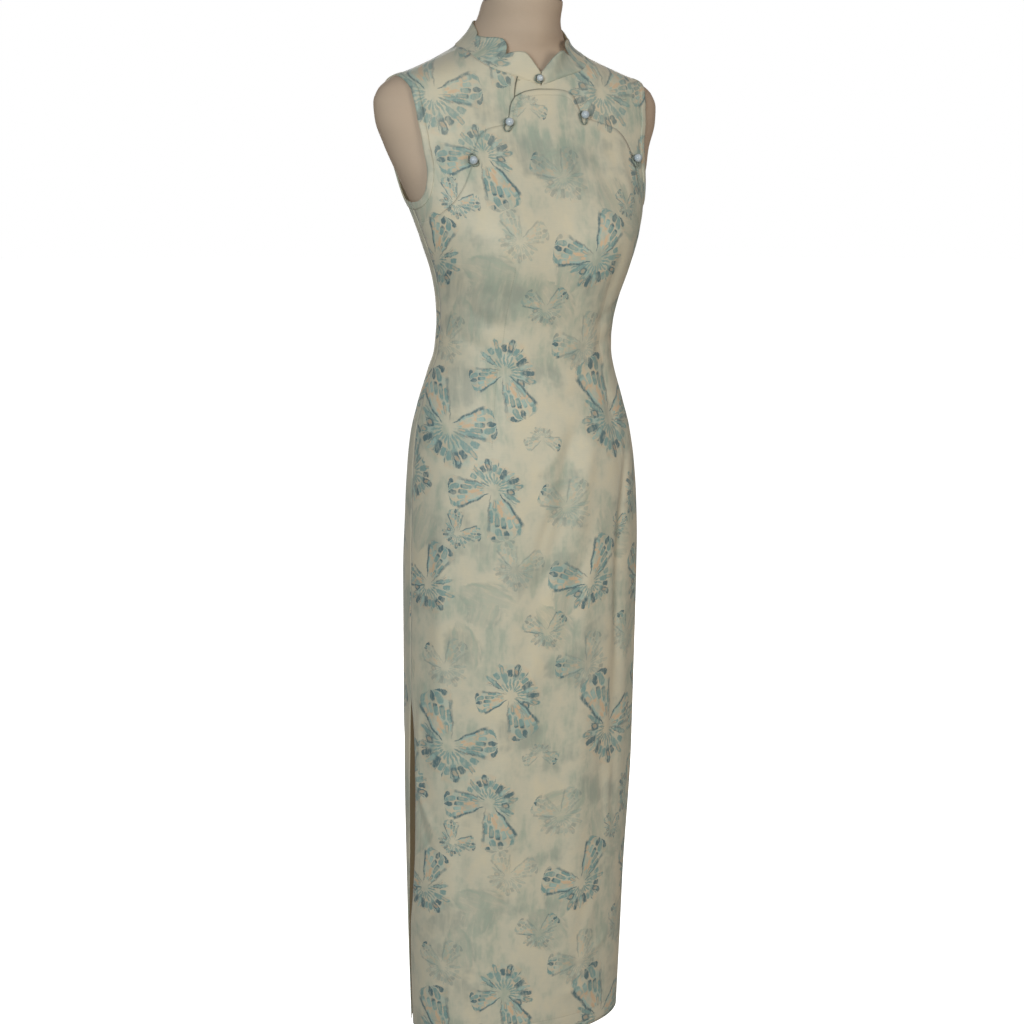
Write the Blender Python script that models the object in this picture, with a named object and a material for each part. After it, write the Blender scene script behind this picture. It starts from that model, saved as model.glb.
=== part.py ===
"""Sleeveless ankle-length cheongsam worn by a limbless dress form on a round stand.

The frame is +Z up with the origin under the middle of the stand's base. The dress faces -Y, so the
wearer's right is -X. Every cloth piece is a closed wall laid on one figure surface, which is given by
horizontal sections. A place on that surface is a turn in degrees (0 at the front middle, 90 at the
wearer's left side, 180 at the back) and a height in metres.
"""

import math

import bmesh
import bpy
import numpy as np
from mathutils import Matrix, Vector

# Driving dimensions, metres
WALL = 0.0015  # thickness of one layer of cloth
GAP = 0.0003  # clearance at seams and between layers
HEM = 0.135  # height of the hem above the floor
SLIT_TOP = 0.607
UNDERARM = 1.247
SHOULDER_TIP = 1.4045
PLACKET_SIDE = 1.222  # height where the placket's edge reaches the side seams
COLLAR_GAP = 0.0010  # clearance between the collar and the neckline below it
UNDERLAP = 0.012  # how far the yokes run on below the placket's edge
BINDING_WIDTH = 0.009
BINDING_WALL = 0.0012
BINDING_LIFT = 0.0012  # clearance between a binding and the cloth that it is laid on
NECK_TOP = 1.4985
CAP_TOP = 1.512
FORM_FOOT = 0.745
BASE_RADIUS = 0.180
BASE_THICK = 0.010
HUB_RADIUS = 0.030
HUB_TOP = 0.032
POLE_RADIUS = 0.0125
LOOP_RADIUS = 0.0011  # half the thickness of a button loop's cord

# Horizontal sections of the figure in its close dress
SECTIONS = np.array(
    [
        # height, half_width, front, back, centre, squareness
        (0.110, 0.148, 0.104, 0.106, 0.022, 2.10),
        (0.300, 0.154, 0.108, 0.110, 0.018, 2.10),
        (0.500, 0.158, 0.112, 0.113, 0.013, 2.10),
        (0.700, 0.158, 0.117, 0.117, 0.007, 2.10),
        (0.860, 0.157, 0.119, 0.119, 0.003, 2.10),
        (0.910, 0.155, 0.115, 0.113, 0.002, 2.10),
        (0.950, 0.151, 0.109, 0.106, 0.003, 2.05),
        (0.990, 0.1415, 0.102, 0.097, 0.004, 2.00),
        (1.030, 0.129, 0.095, 0.088, 0.003, 2.00),
        (1.060, 0.1215, 0.091, 0.084, -0.003, 2.00),
        (1.090, 0.1205, 0.090, 0.084, -0.008, 2.00),
        (1.120, 0.1235, 0.091, 0.088, -0.014, 2.00),
        (1.160, 0.133, 0.091, 0.097, -0.022, 2.00),
        (1.200, 0.147, 0.088, 0.106, -0.024, 2.00),
        (1.230, 0.157, 0.088, 0.108, -0.020, 2.00),
        (1.260, 0.168, 0.088, 0.106, -0.012, 2.00),
        (1.290, 0.180, 0.085, 0.102, -0.004, 2.00),
        (1.320, 0.191, 0.081, 0.096, 0.006, 2.00),
        (1.350, 0.202, 0.075, 0.087, 0.009, 2.00),
        (1.370, 0.204, 0.069, 0.080, 0.010, 2.00),
        (1.385, 0.198, 0.067, 0.074, 0.011, 2.00),
        (1.400, 0.179, 0.066, 0.068, 0.013, 2.00),
        (1.415, 0.141, 0.0685, 0.062, 0.017, 1.95),
        (1.430, 0.107, 0.0755, 0.054, 0.025, 1.80),
        (1.445, 0.080, 0.079, 0.048, 0.029, 1.70),
        (1.465, 0.062, 0.071, 0.050, 0.021, 1.80),
        (1.485, 0.054, 0.058, 0.053, 0.007, 1.95),
        (1.505, 0.050, 0.046, 0.056, -0.006, 2.00),
    ]
)

# Rounded bust, one row for each side
BUST = [
    # x, height, spread, rise
    (0.085, 1.196, 0.045, 0.022),
    (-0.085, 1.196, 0.045, 0.022),
]

# The largest soft folds of the cloth: a ridge where the rise is positive, a trough where negative
FOLDS = [
    # top_turn, top_height, foot_turn, foot_height, half_width, rise
    (-30, 1.205, -34, 0.930, 0.011, -0.0016),
    (38, 1.190, 40, 0.880, 0.011, -0.0018),
    (41, 0.870, 37, 0.420, 0.014, -0.0030),
    (3, 0.868, -11, 0.740, 0.012, -0.0028),
    (-24, 0.800, -30, 0.330, 0.020, 0.0030),
    (14, 0.620, 10, 0.200, 0.018, 0.0026),
    (-60, 0.860, -64, 0.480, 0.016, 0.0024),
    (68, 0.880, 66, 0.380, 0.018, 0.0028),
    (152, 1.215, 150, 0.950, 0.012, -0.0020),
    (208, 1.215, 210, 0.950, 0.012, -0.0020),
    (160, 0.800, 156, 0.300, 0.018, 0.0032),
    (198, 0.760, 204, 0.220, 0.020, -0.0028),
    (118, 0.820, 122, 0.360, 0.018, -0.0024),
    (242, 0.840, 238, 0.420, 0.018, 0.0026),
    (180, 1.090, 180, 1.010, 0.030, -0.0022),
]

# Corners of the neckline, where the collar is sewn on, alike on both sides
NECKLINE = np.array(
    [
        # turn, height
        (0, 1.3920),
        (3.4, 1.3955),
        (6.9, 1.3990),
        (10.3, 1.4025),
        (16.5, 1.4070),
        (23, 1.4110),
        (36, 1.4205),
        (50, 1.4295),
        (69, 1.4390),
        (90, 1.4440),
        (112, 1.4470),
        (135, 1.4480),
        (158, 1.4480),
        (180, 1.4480),
    ]
)

# Top edge of the stand collar, two petals on each side of the front notch
COLLAR_TOP = np.array(
    [
        # turn, height, flare
        (0, 1.4085, 0.0020),
        (7, 1.4230, 0.0040),
        (12, 1.4325, 0.0058),
        (18, 1.4325, 0.0045),
        (23, 1.4290, 0.0030),
        (30, 1.4385, 0.0040),
        (36, 1.4475, 0.0046),
        (50, 1.4495, 0.0028),
        (69, 1.4540, 0.0012),
        (75, 1.4615, 0.0010),
        (98, 1.4720, 0.0008),
        (140, 1.4770, 0.0008),
        (180, 1.4780, 0.0008),
    ]
)

# Armhole edge from the underarm to the shoulder tip, alike on both sides
ARMHOLE_FRONT = [
    # turn, height
    (90, UNDERARM),
    (82, 1.2476),
    (73, 1.2530),
    (66, 1.2660),
    (59.5, 1.2880),
    (56.5, 1.3100),
    (53.5, 1.3400),
    (53, 1.3640),
    (57, 1.3860),
    (74, 1.4010),
    (90, SHOULDER_TIP),
]
ARMHOLE_BACK = [
    # turn, height
    (90, UNDERARM),
    (98, 1.2490),
    (106, 1.2580),
    (114, 1.2780),
    (119, 1.3050),
    (122, 1.3350),
    (121, 1.3680),
    (114, 1.3890),
    (104, 1.4000),
    (90, SHOULDER_TIP),
]

# Scalloped placket edge from the wearer's right underarm to the left one, in arcs that meet at buttons
PLACKET_ARCS = [
    # columns, then the arc's points as turn and height
    (6, [(-90, PLACKET_SIDE), (-70, 1.2290), (-55, 1.2450), (-44, 1.2660), (-34.5, 1.2955)]),
    (6, [(-34.5, 1.2955), (-31.2, 1.3138), (-27.4, 1.3298), (-23, 1.3380), (-15, 1.3435)]),
    (4, [(-15, 1.3435), (-13.6, 1.3590), (-12.6, 1.3690), (-10.8, 1.3783)]),
    (10, [(-10.8, 1.3783), (-6.4, 1.3850), (0, 1.3880), (6, 1.3880), (12, 1.3835), (15.7, 1.3535)]),
    (6, [(15.7, 1.3535), (24, 1.3465), (31.2, 1.3404), (40, 1.3220), (45.5, 1.3000)]),
    (6, [(45.5, 1.3000), (50, 1.2760), (57, 1.2540), (70, 1.2330), (90, PLACKET_SIDE)]),
]
RIGHT_ARCS = 3  # the first arcs, up to the right yoke's front edge
FLAP_REACH = 5.0  # degrees that the left yoke's flap runs on under the right yoke
YOKE_EDGE_TOP = -10.3  # turn at which the right yoke's front edge meets the collar

# Edges of the front and back panels along the two side slits
SLIT = np.array(
    [
        # height, right_front, right_back, left_front, left_back
        (HEM, -98, -106, 66, 80),
        (0.200, -98, -105, 72, 84),
        (0.270, -96, -102, 79, 88),
        (0.330, -89, -97, 82, 91),
        (0.400, -84, -93, 84, 92),
        (0.490, -82.5, -91.5, 85, 91.5),
        (0.560, -85, -90.8, 87, 90.8),
        (SLIT_TOP, -90, -90, 90, 90),
    ]
)

# Heights of the cross rows of the front and back panels
SKIRT_ROWS = [HEM, 0.20, 0.27, 0.34, 0.41, 0.49, 0.555, SLIT_TOP, 0.67, 0.73, 0.79, 0.84, 0.88]
WAIST_ROWS = [0.92, 0.955, 0.99, 1.02, 1.05, 1.075, 1.10, 1.13, 1.16]
SIDE_ROWS = [1.192, PLACKET_SIDE - UNDERLAP]
CHEST_ROWS = 6  # rows of the front panel between the last waist row and the underlap
ARMHOLE_STEPS = 9
EVENING_PASSES = 60  # how often the places of an upper patch are evened out
KNEE = 2  # armhole steps that run across the columns, before it turns up beside the rows
KNEE_ROWS = 2  # rows between a panel's edge or last side row and the armhole's knee
SHOULDER_COLUMNS = 8
COLLAR_ROWS = 4

# How far the form's skin lies inside the figure surface
FORM_INSET = np.array(
    [
        # height, inset
        (FORM_FOOT, 0.0120),
        (0.900, 0.0075),
        (1.000, 0.0052),
        (1.410, 0.0052),
        (1.434, 0.0092),
        (1.448, 0.0056),
        (1.462, 0.0024),
        (1.475, 0.0024),
        (1.492, 0.0),
    ]
)
SHOULDER_INSET = 0.0045

# Pearl buttons, from the collar to the wearer's left underarm
BUTTONS = [
    # turn, height, rest, radius, leg_turn, leg_drop
    (-1.2, 1.3999, 0.0016, 0.0042, 0.0, 0.0),
    (-15.0, 1.3440, 0.0018, 0.0052, -0.5, -1.0),
    (-34.5, 1.2958, 0.0018, 0.0052, 0.2, 1.0),
    (15.7, 1.3540, 0.0018, 0.0052, 0.0, -1.0),
    (45.5, 1.3003, 0.0018, 0.0052, 0.5, -1.0),
]

# Colours, roughness and metallic values
MATERIALS = {
    "printed_silk": ((0.62, 0.58, 0.46, 1), 0.55, 0.0),
    "pearl": ((0.72, 0.76, 0.80, 1), 0.25, 0.0),
    "loop_cord": ((0.30, 0.38, 0.36, 1), 0.60, 0.0),
    "form_skin": ((0.42, 0.33, 0.26, 1), 0.60, 0.0),
    "dark_metal": ((0.10, 0.09, 0.08, 1), 0.40, 0.8),
}


def clear_scene():
    for obj in list(bpy.data.objects):
        bpy.data.objects.remove(obj, do_unlink=True)


def make_materials():
    made = {}
    for name, (colour, roughness, metallic) in MATERIALS.items():
        material = bpy.data.materials.new(name)
        material.use_nodes = True
        surface = material.node_tree.nodes["Principled BSDF"]
        surface.inputs["Base Color"].default_value = colour
        surface.inputs["Roughness"].default_value = roughness
        surface.inputs["Metallic"].default_value = metallic
        made[name] = material
    return made


def spline(stations, values, at):
    """A smooth curve through the stations that never overshoots them."""
    stations, values, at = (np.asarray(item, float) for item in (stations, values, at))
    steps = np.diff(stations)
    slopes = np.diff(values) / steps
    tangents = np.concatenate([slopes[:1], np.zeros(len(slopes) - 1), slopes[-1:]])
    for k in range(1, len(slopes)):
        if slopes[k - 1] * slopes[k] > 0:
            before, after = 2 * steps[k] + steps[k - 1], steps[k] + 2 * steps[k - 1]
            tangents[k] = (before + after) / (before / slopes[k - 1] + after / slopes[k])
    i = np.clip(np.searchsorted(stations, at) - 1, 0, len(steps) - 1)
    t = np.clip((at - stations[i]) / steps[i], 0, 1)
    rise = values[i + 1] - values[i]
    eased = values[i] + rise * t * t * (3 - 2 * t)
    return eased + steps[i] * t * (1 - t) * (tangents[i] * (1 - t) - tangents[i + 1] * t)


def ease(low, high, at):
    t = np.clip((at - low) / (high - low), 0, 1)
    return t * t * (3 - 2 * t)


def figure(turn, height):
    """Points of the figure surface."""
    turn, height = np.broadcast_arrays(np.asarray(turn, float), np.asarray(height, float))
    columns = [spline(SECTIONS[:, 0], SECTIONS[:, k], height) for k in range(1, 6)]
    half_width, front, back, centre, squareness = columns
    side, ahead = np.sin(np.radians(turn)), np.cos(np.radians(turn))
    reach = (abs(side) ** squareness + abs(ahead) ** squareness) ** (-1 / squareness)
    x = half_width * side * reach
    y = centre - np.where(ahead > 0, front, back) * ahead * reach
    for bust_x, bust_height, spread, rise in BUST:
        away = ((x - bust_x) ** 2 + (height - bust_height) ** 2) / (2 * spread**2)
        y = y - rise * np.sqrt(np.clip(ahead, 0, 1)) * np.exp(-away)
    return np.stack([x, y, height], -1)


def figure_frame(turn, height):
    """The figure's derivatives along turn and height, and its outward normal."""
    step_turn, step_height = 0.01, 0.0001
    along = (figure(turn + step_turn, height) - figure(turn - step_turn, height)) / (2 * step_turn)
    up = (figure(turn, height + step_height) - figure(turn, height - step_height)) / (2 * step_height)
    normal = np.cross(along, up)
    return along, up, normal / np.linalg.norm(normal, axis=-1, keepdims=True)


def fold_rise(turn, height):
    """How far the folds lift or sink the cloth."""
    total = np.zeros(np.broadcast(turn, height).shape)
    radius = spline(SECTIONS[:, 0], (SECTIONS[:, 1] + SECTIONS[:, 2]) / 2, height)
    for top_turn, top, foot_turn, foot, half_width, rise in FOLDS:
        down = (top - height) / (top - foot)
        line = top_turn + (foot_turn - top_turn) * down
        across = np.radians((turn - line + 180) % 360 - 180) * radius
        ends = ease(-0.12, 0.18, down) * ease(-0.12, 0.30, 1 - down)
        total = total + rise * ends * np.exp(-((across / half_width) ** 2))
    return total


def laid(turn, height, out, folded=True):
    """Points moved out from the figure, following the folds of the cloth where it is folded."""
    lift = out + (fold_rise(turn, height) if folded else 0)
    return figure(turn, height) + figure_frame(turn, height)[2] * np.asarray(lift)[..., None]


def settle(points, turn, height, passes):
    """Turn and height of the figure's places nearest to the points, from a first guess."""
    for _ in range(passes):
        along, up, _ = figure_frame(turn, height)
        miss = points - figure(turn, height)
        aa, ab, bb = (along * along).sum(-1), (along * up).sum(-1), (up * up).sum(-1)
        ma, mb = (miss * along).sum(-1), (miss * up).sum(-1)
        det = aa * bb - ab * ab
        turn = turn + np.clip((bb * ma - ab * mb) / det, -8, 8)
        height = np.clip(height + np.clip((aa * mb - ab * ma) / det, -0.01, 0.01), HEM, 1.5)
    return turn, height


def spaced(points, count):
    """Places on a smooth curve through the given places, spaced evenly along the cloth."""
    points = np.asarray(points, float)
    span = np.linspace(0, 1, len(points))
    fine = np.linspace(0, 1, 40 * len(points))
    places = np.stack([spline(span, points[:, k], fine) for k in (0, 1)], -1)
    solid = figure(places[:, 0], places[:, 1])
    run = np.concatenate([[0], np.cumsum(np.linalg.norm(np.diff(solid, axis=0), axis=1))])
    at = np.linspace(0, run[-1], count + 1)
    return np.stack([np.interp(at, run, places[:, k]) for k in (0, 1)], -1)


def beside(edge, distance):
    """Places inside an edge, at a distance along the cloth to the left of its direction."""
    solid = figure(edge[:, 0], edge[:, 1])
    normal = figure_frame(edge[:, 0], edge[:, 1])[2]
    steps = np.diff(solid, axis=0)
    steps /= np.linalg.norm(steps, axis=1, keepdims=True)
    ahead = np.concatenate([steps[:1], steps[:-1] + steps[1:], steps[-1:]])
    inward = np.cross(normal, ahead)
    inward /= np.linalg.norm(inward, axis=1, keepdims=True)
    aim = solid + inward * np.reshape(distance, (-1, 1))
    return np.stack(settle(aim, edge[:, 0], edge[:, 1], 12), -1)


def patch_between(bottom, top, left, right):
    """A patch of places between four edges, evened out over the cloth by Winslow's equations."""
    u = np.linspace(0, 1, len(bottom))[None, :, None]
    v = np.linspace(0, 1, len(left))[:, None, None]
    left_bend, right_bend = (
        edge[:, None] - (1 - v) * edge[0] - v * edge[-1] for edge in (left, right)
    )
    patch = (1 - v) * bottom + v * top + left_bend * (1 - u) + right_bend * u
    for _ in range(EVENING_PASSES):
        solid = figure(patch[..., 0], patch[..., 1])
        across = (solid[1:-1, 2:] - solid[1:-1, :-2]) / 2
        up = (solid[2:, 1:-1] - solid[:-2, 1:-1]) / 2
        alpha, gamma = ((item * item).sum(-1, keepdims=True) for item in (up, across))
        beta = (across * up).sum(-1, keepdims=True)
        twist = solid[2:, 2:] - solid[2:, :-2] - solid[:-2, 2:] + solid[:-2, :-2]
        middle = alpha * (solid[1:-1, 2:] + solid[1:-1, :-2]) - beta * twist / 2
        middle = (middle + gamma * (solid[2:, 1:-1] + solid[:-2, 1:-1])) / (2 * (alpha + gamma))
        inner = patch[1:-1, 1:-1]
        patch[1:-1, 1:-1] = np.stack(settle(middle, inner[..., 0], inner[..., 1], 2), -1)
    return patch


def neckline(turn):
    turn = abs((np.asarray(turn, float) + 180) % 360 - 180)
    return np.interp(turn, NECKLINE[:, 0], NECKLINE[:, 1])


def mirrored(places):
    return np.asarray(places, float) * (-1, 1)


def off_seams(places):
    """Places within the shoulder and side seams moved off them by half the clearance."""
    places = places.copy()
    depth = spline(SECTIONS[:, 0], SECTIONS[:, 2], places[..., 1])
    half = np.degrees(0.7 * GAP / depth)
    behind = np.nanmean(places[..., 0]) > 120
    for seam in (-90, 90, 270):
        on_seam = abs(places[..., 0] - seam) < half
        away = 1 if (seam == 90) == behind else -1
        places[..., 0] = np.where(on_seam, seam + away * half, places[..., 0])
    return places


def solid_object(name, points, faces, material):
    mesh = bpy.data.meshes.new(name)
    mesh.from_pydata([tuple(point) for point in points], [], faces)
    mesh.validate()
    mesh.shade_smooth()
    mesh.set_sharp_from_angle(angle=math.radians(40))
    mesh.materials.append(material)
    obj = bpy.data.objects.new(name, mesh)
    bpy.context.scene.collection.objects.link(obj)
    return obj


def wall(name, outer, inner, material, ring=False):
    """A closed wall between two grids of points; a ring's rows join end to end, absent places are nan."""
    rows, columns = outer.shape[:2]
    present = ~np.isnan(outer[..., 0])
    count = int(present.sum())
    number = np.full((rows, columns), -1)
    number[present] = np.arange(count)
    if ring:
        number = np.vstack([number, number[:1]])
    front = []
    for row in range(len(number) - 1):
        for column in range(columns - 1):
            a, b = number[row, column], number[row, column + 1]
            d, c = number[row + 1, column], number[row + 1, column + 1]
            if min(a, b, c, d) >= 0:
                front += [(a, b, c), (a, c, d)]
    edges = {edge for a, b, c in front for edge in ((a, b), (b, c), (c, a))}
    faces = front + [(a + count, c + count, b + count) for a, b, c in front]
    for a, b in sorted(edges):
        if (b, a) not in edges:
            faces += [(b, a, a + count), (b, a + count, b + count)]
    faces = [tuple(int(i) for i in face) for face in faces]
    return solid_object(name, np.concatenate([outer[present], inner[present]]), faces, material)


def cloth(name, places, out, material, thick=WALL, ring=False):
    """A wall of cloth whose outer face lies a given distance out from the figure."""
    turn, height = places[..., 0], places[..., 1]
    out = np.broadcast_to(out, turn.shape)
    return wall(name, laid(turn, height, out), laid(turn, height, out - thick), material, ring)


def placket_edge():
    """Places along the whole placket edge, and the number of those on the right yoke."""
    arcs = [spaced(points, count) for count, points in PLACKET_ARCS]
    edge = np.concatenate([arcs[0]] + [arc[1:] for arc in arcs[1:]])
    return edge, 1 + sum(count for count, _ in PLACKET_ARCS[:RIGHT_ARCS])


def underlap_edge(edge):
    """Where the yokes end, below the placket's edge, along the same columns."""
    drop = beside(edge, -UNDERLAP)
    drop[:, 0] = 0.6 * drop[:, 0] + 0.4 * edge[:, 0]
    drop[[0, -1], 0] = edge[[0, -1], 0]
    drop[[0, -1], 1] = PLACKET_SIDE - UNDERLAP
    smooth = drop.copy()
    for _ in range(3):
        smooth[1:-1] = 0.25 * smooth[:-2] + 0.5 * smooth[1:-1] + 0.25 * smooth[2:]
        smooth[1:-1, 1] = np.minimum(smooth[1:-1, 1], edge[1:-1, 1] - 0.8 * UNDERLAP)
    return smooth


def side_turns(height, front):
    """Turns of a panel's right and left edges at a height, open along the slits."""
    right, left = (1, 3) if front else (2, 4)
    height = np.minimum(height, SLIT_TOP)
    turns = [spline(SLIT[:, 0], SLIT[:, k], height) for k in (right, left)]
    return turns if front else [turns[1], turns[0] + 360]


def front_places(edge, lap):
    """Places of the front panel, row by row from the hem, and how far each is lifted over the yokes."""
    share = np.linspace(0, 1, len(edge))
    rows = []
    for height in SKIRT_ROWS + WAIST_ROWS:
        right, left = side_turns(height, True)
        even = right + (left - right) * share
        gathered = edge[:, 0] * (left - right) / 180 + (left + right) / 2
        blend = 0.55 * ease(0.75, 1.16, height)
        rows.append(np.stack([even + (gathered - even) * blend, np.full(len(edge), height)], -1))
    last = rows[-1]
    for step in range(1, CHEST_ROWS + 1):
        part = step / (CHEST_ROWS + 1)
        rows.append(last + (lap - last) * part)
    rows += [lap, edge]
    places = off_seams(np.stack(rows))
    lift = np.zeros(places.shape[:2])
    lift[-2:] = WALL + GAP
    return places, lift


def armhole(points, side, steps):
    return spaced(points if side > 0 else mirrored(points), steps)


def shoulder_edge(side):
    """Places along the shoulder seam from the tip to the neck."""
    ends = [(side * 90, SHOULDER_TIP), (side * 90, 1.428), (side * 90, neckline(90))]
    return spaced(ends, SHOULDER_COLUMNS)


def beside_armhole(hole, corner):
    """A patch's side edge: a short run up to the armhole's knee, then the armhole above it."""
    share = np.linspace(0, 1, KNEE_ROWS + 1)[:, None]
    return np.concatenate([corner + (hole[KNEE] - corner) * share, hole[KNEE + 1 :]])


def under_knee(bottom, hole):
    """Places between the first columns' feet and the armhole below its knee."""
    share = np.linspace(0, 1, KNEE_ROWS + 1)[:, None, None]
    return bottom[:KNEE] + (hole[:KNEE] - bottom[:KNEE]) * share


def yoke_places(edge, lap, side):
    """Places of one yoke from its hidden lower edge to its armhole, shoulder and neckline."""
    hole, seam = armhole(ARMHOLE_FRONT, side, ARMHOLE_STEPS), shoulder_edge(side)
    stops = np.concatenate([-NECKLINE[::-1, 0], NECKLINE[1:, 0]])
    between = stops[(stops - side * 90) * (stops - YOKE_EDGE_TOP) < 0]
    neck_turns = np.append(between[:: -side], YOKE_EDGE_TOP)
    top = np.concatenate([seam, np.stack([neck_turns, neckline(neck_turns)], -1)])
    foot, drop = (edge, lap) if side < 0 else (edge[::-1], lap[::-1])
    near = beside_armhole(hole, foot[KNEE])
    far = foot[-1] + (top[-1] - foot[-1]) * np.linspace(0, 1, len(near))[:, None]
    patch = np.full((len(near), len(foot), 2), np.nan)
    patch[:, KNEE:] = patch_between(foot[KNEE:], top, near, far)
    patch[: KNEE_ROWS + 1, :KNEE] = under_knee(foot, hole)
    patch = np.concatenate([drop[None], patch])
    return patch if side < 0 else patch[:, ::-1]


def back_places():
    """Places of the back panel, row by row from the hem to the armholes, shoulders and neckline."""
    hole, seam = armhole(ARMHOLE_BACK, 1, ARMHOLE_STEPS), shoulder_edge(1)
    neck_turns = NECKLINE[NECKLINE[:, 0] > 90, 0]
    half = np.concatenate([seam, np.stack([neck_turns, neckline(neck_turns)], -1)])
    top = np.concatenate([half, half[-2::-1] * (-1, 1) + (360, 0)])
    share = np.linspace(0, 1, len(top) + 2 * KNEE)
    rows = []
    for height in SKIRT_ROWS + WAIST_ROWS + SIDE_ROWS:
        left, right = side_turns(height, False)
        rows.append(np.stack([left + (right - left) * share, np.full(len(share), height)], -1))
    foot = rows.pop()
    near = beside_armhole(hole, foot[KNEE])
    patch = np.full((len(near), len(share), 2), np.nan)
    patch[:, KNEE:-KNEE] = patch_between(foot[KNEE:-KNEE], top, near, near * (-1, 1) + (360, 0))
    patch[: KNEE_ROWS + 1, :KNEE] = under_knee(foot, hole)
    patch[:, -KNEE:] = patch[:, KNEE - 1 :: -1] * (-1, 1) + (360, 0)
    return np.concatenate([np.stack(rows), patch]) % (360, 10)


def binding_places(side):
    """The ring of places round one armhole: its edge and the line a binding's width inside it."""
    front, behind = (armhole(edge, side, 2 * ARMHOLE_STEPS) for edge in (ARMHOLE_FRONT, ARMHOLE_BACK))
    edge = np.concatenate([front, behind[-2:0:-1]])
    around = np.concatenate([edge[-1:], edge, edge[:1]])
    inside = beside(around, side * BINDING_WIDTH)[1:-1]
    inside[0] = (side * 90, UNDERARM - BINDING_WIDTH)
    pair = [edge, inside] if side < 0 else [inside, edge]
    return np.stack(pair, 1)


def collar_places():
    """Places of the standing collar from the neckline to its petals, and its distance out."""
    stops = [0.25, 3.4, 6.9, 10.3, 13, 16.5, 18, 21, 23, 26.5, 30, 33, 36, 43, 50, 60, 69, 72, 75, 83]
    stops = np.array(stops + [90, 100, 112, 123, 135, 146, 158, 169, 180.0])
    turn = np.concatenate([stops, 360 - stops[-2::-1]])
    away = abs((turn + 180) % 360 - 180)
    top = spline(COLLAR_TOP[:, 0], COLLAR_TOP[:, 1], away)
    flare = spline(COLLAR_TOP[:, 0], COLLAR_TOP[:, 2], away)
    share = np.linspace(0, 1, COLLAR_ROWS + 1)[:, None]
    foot = neckline(turn) + COLLAR_GAP
    height = foot + (top - foot) * share
    places = np.stack([np.broadcast_to(turn, height.shape), height], -1)
    return places, 0.0008 + flare * share**2


def form_skin(turn, height):
    """Distance of the form's skin inside the figure surface."""
    plain = spline(FORM_INSET[:, 0], FORM_INSET[:, 1], height)
    broad = ease(0.55, 0.85, abs(np.sin(np.radians(turn)))) * ease(1.25, 1.29, height)
    broad = broad * (1 - ease(1.405, 1.425, height))
    return plain + (SHOULDER_INSET - plain) * broad


def stack(name, rings, material, head, foot):
    """A closed solid through rings of points, closed by a point above and one below."""
    count = rings.shape[1]
    faces = []
    for row in range(len(rings) - 1):
        for k in range(count):
            a, b = row * count + k, row * count + (k + 1) % count
            faces += [(a, b, b + count), (a, b + count, a + count)]
    last = len(rings) * count
    for k in range(count):
        after = (k + 1) % count
        faces.append((last, after, k))
        faces.append((last + 1, last - count + k, last - count + after))
    points = np.concatenate([rings.reshape(-1, 3), [foot], [head]])
    return solid_object(name, points, faces, material)


def build_form(material, cap_material):
    """The limbless form: its body with shoulder caps and neck, and the cap on the neck."""
    heights = [FORM_FOOT, FORM_FOOT + 0.006, FORM_FOOT + 0.02, 0.80, 0.86, 0.91, 0.95, 0.99, 1.03]
    heights += [1.06, 1.09, 1.125, 1.16, 1.19, 1.22, 1.25, 1.28, 1.305, 1.33, 1.35, 1.367, 1.382]
    heights += [1.395, 1.406, 1.416, 1.425, 1.433, 1.441, 1.450, 1.462, 1.478, NECK_TOP]
    turn = np.concatenate([np.arange(0, 60, 11.25), np.arange(60, 90, 7.5)])
    turn = np.concatenate([turn, 180 - turn[:0:-1], [180]])
    turn = np.unique(np.concatenate([turn, [90], 360 - turn[1:-1], [270]]))
    rings = []
    for height in heights:
        inset = form_skin(turn, np.full(len(turn), height))
        rings.append(laid(turn, np.full(len(turn), height), -inset, folded=False))
        rings[-1][:, 2] = np.clip(rings[-1][:, 2], FORM_FOOT, NECK_TOP)
    rings = np.stack(rings)
    rings[-1][:, 2] = NECK_TOP
    for row, shrink in ((0, 0.88), (1, 0.95)):
        rings[row, :, :2] *= shrink
        rings[row, :, 2] = heights[row]
    middle = rings[-1].mean(0)
    stack("form_body", rings, material, tuple(middle), (0, rings[0, :, 1].mean(), FORM_FOOT))
    lip = [(NECK_TOP + GAP, 0.97), (NECK_TOP + 0.006, 0.985), (NECK_TOP + 0.010, 0.95), (CAP_TOP, 0.80)]
    caps = [(rings[-1] - middle) * (scale, scale, 0) + (middle[0], middle[1], z) for z, scale in lip]
    top = (middle[0], middle[1], CAP_TOP)
    stack("form_neck_cap", np.stack(caps), cap_material, top, (middle[0], middle[1], NECK_TOP + GAP))


def turned(name, profile, material, sides):
    """A closed turned solid from a profile of radii and heights, bottom to top."""
    angle = np.linspace(0, 2 * math.pi, sides, endpoint=False)
    rings = [np.stack([r * np.cos(angle), r * np.sin(angle), np.full(sides, z)], -1) for r, z in profile]
    return stack(name, np.stack(rings), material, (0, 0, profile[-1][1]), (0, 0, profile[0][1]))


def build_stand(material):
    rim = 0.002
    profile = [
        (BASE_RADIUS - rim, 0.0),
        (BASE_RADIUS, rim),
        (BASE_RADIUS, BASE_THICK - rim),
        (BASE_RADIUS - rim, BASE_THICK),
        (HUB_RADIUS + 0.006, BASE_THICK + 0.003),
        (HUB_RADIUS, BASE_THICK + 0.008),
        (HUB_RADIUS * 0.75, HUB_TOP),
    ]
    turned("stand_base", profile, material, 36)
    pole = [(POLE_RADIUS, HUB_TOP + GAP), (POLE_RADIUS, FORM_FOOT - GAP)]
    turned("stand_pole", pole, material, 16)


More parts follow.
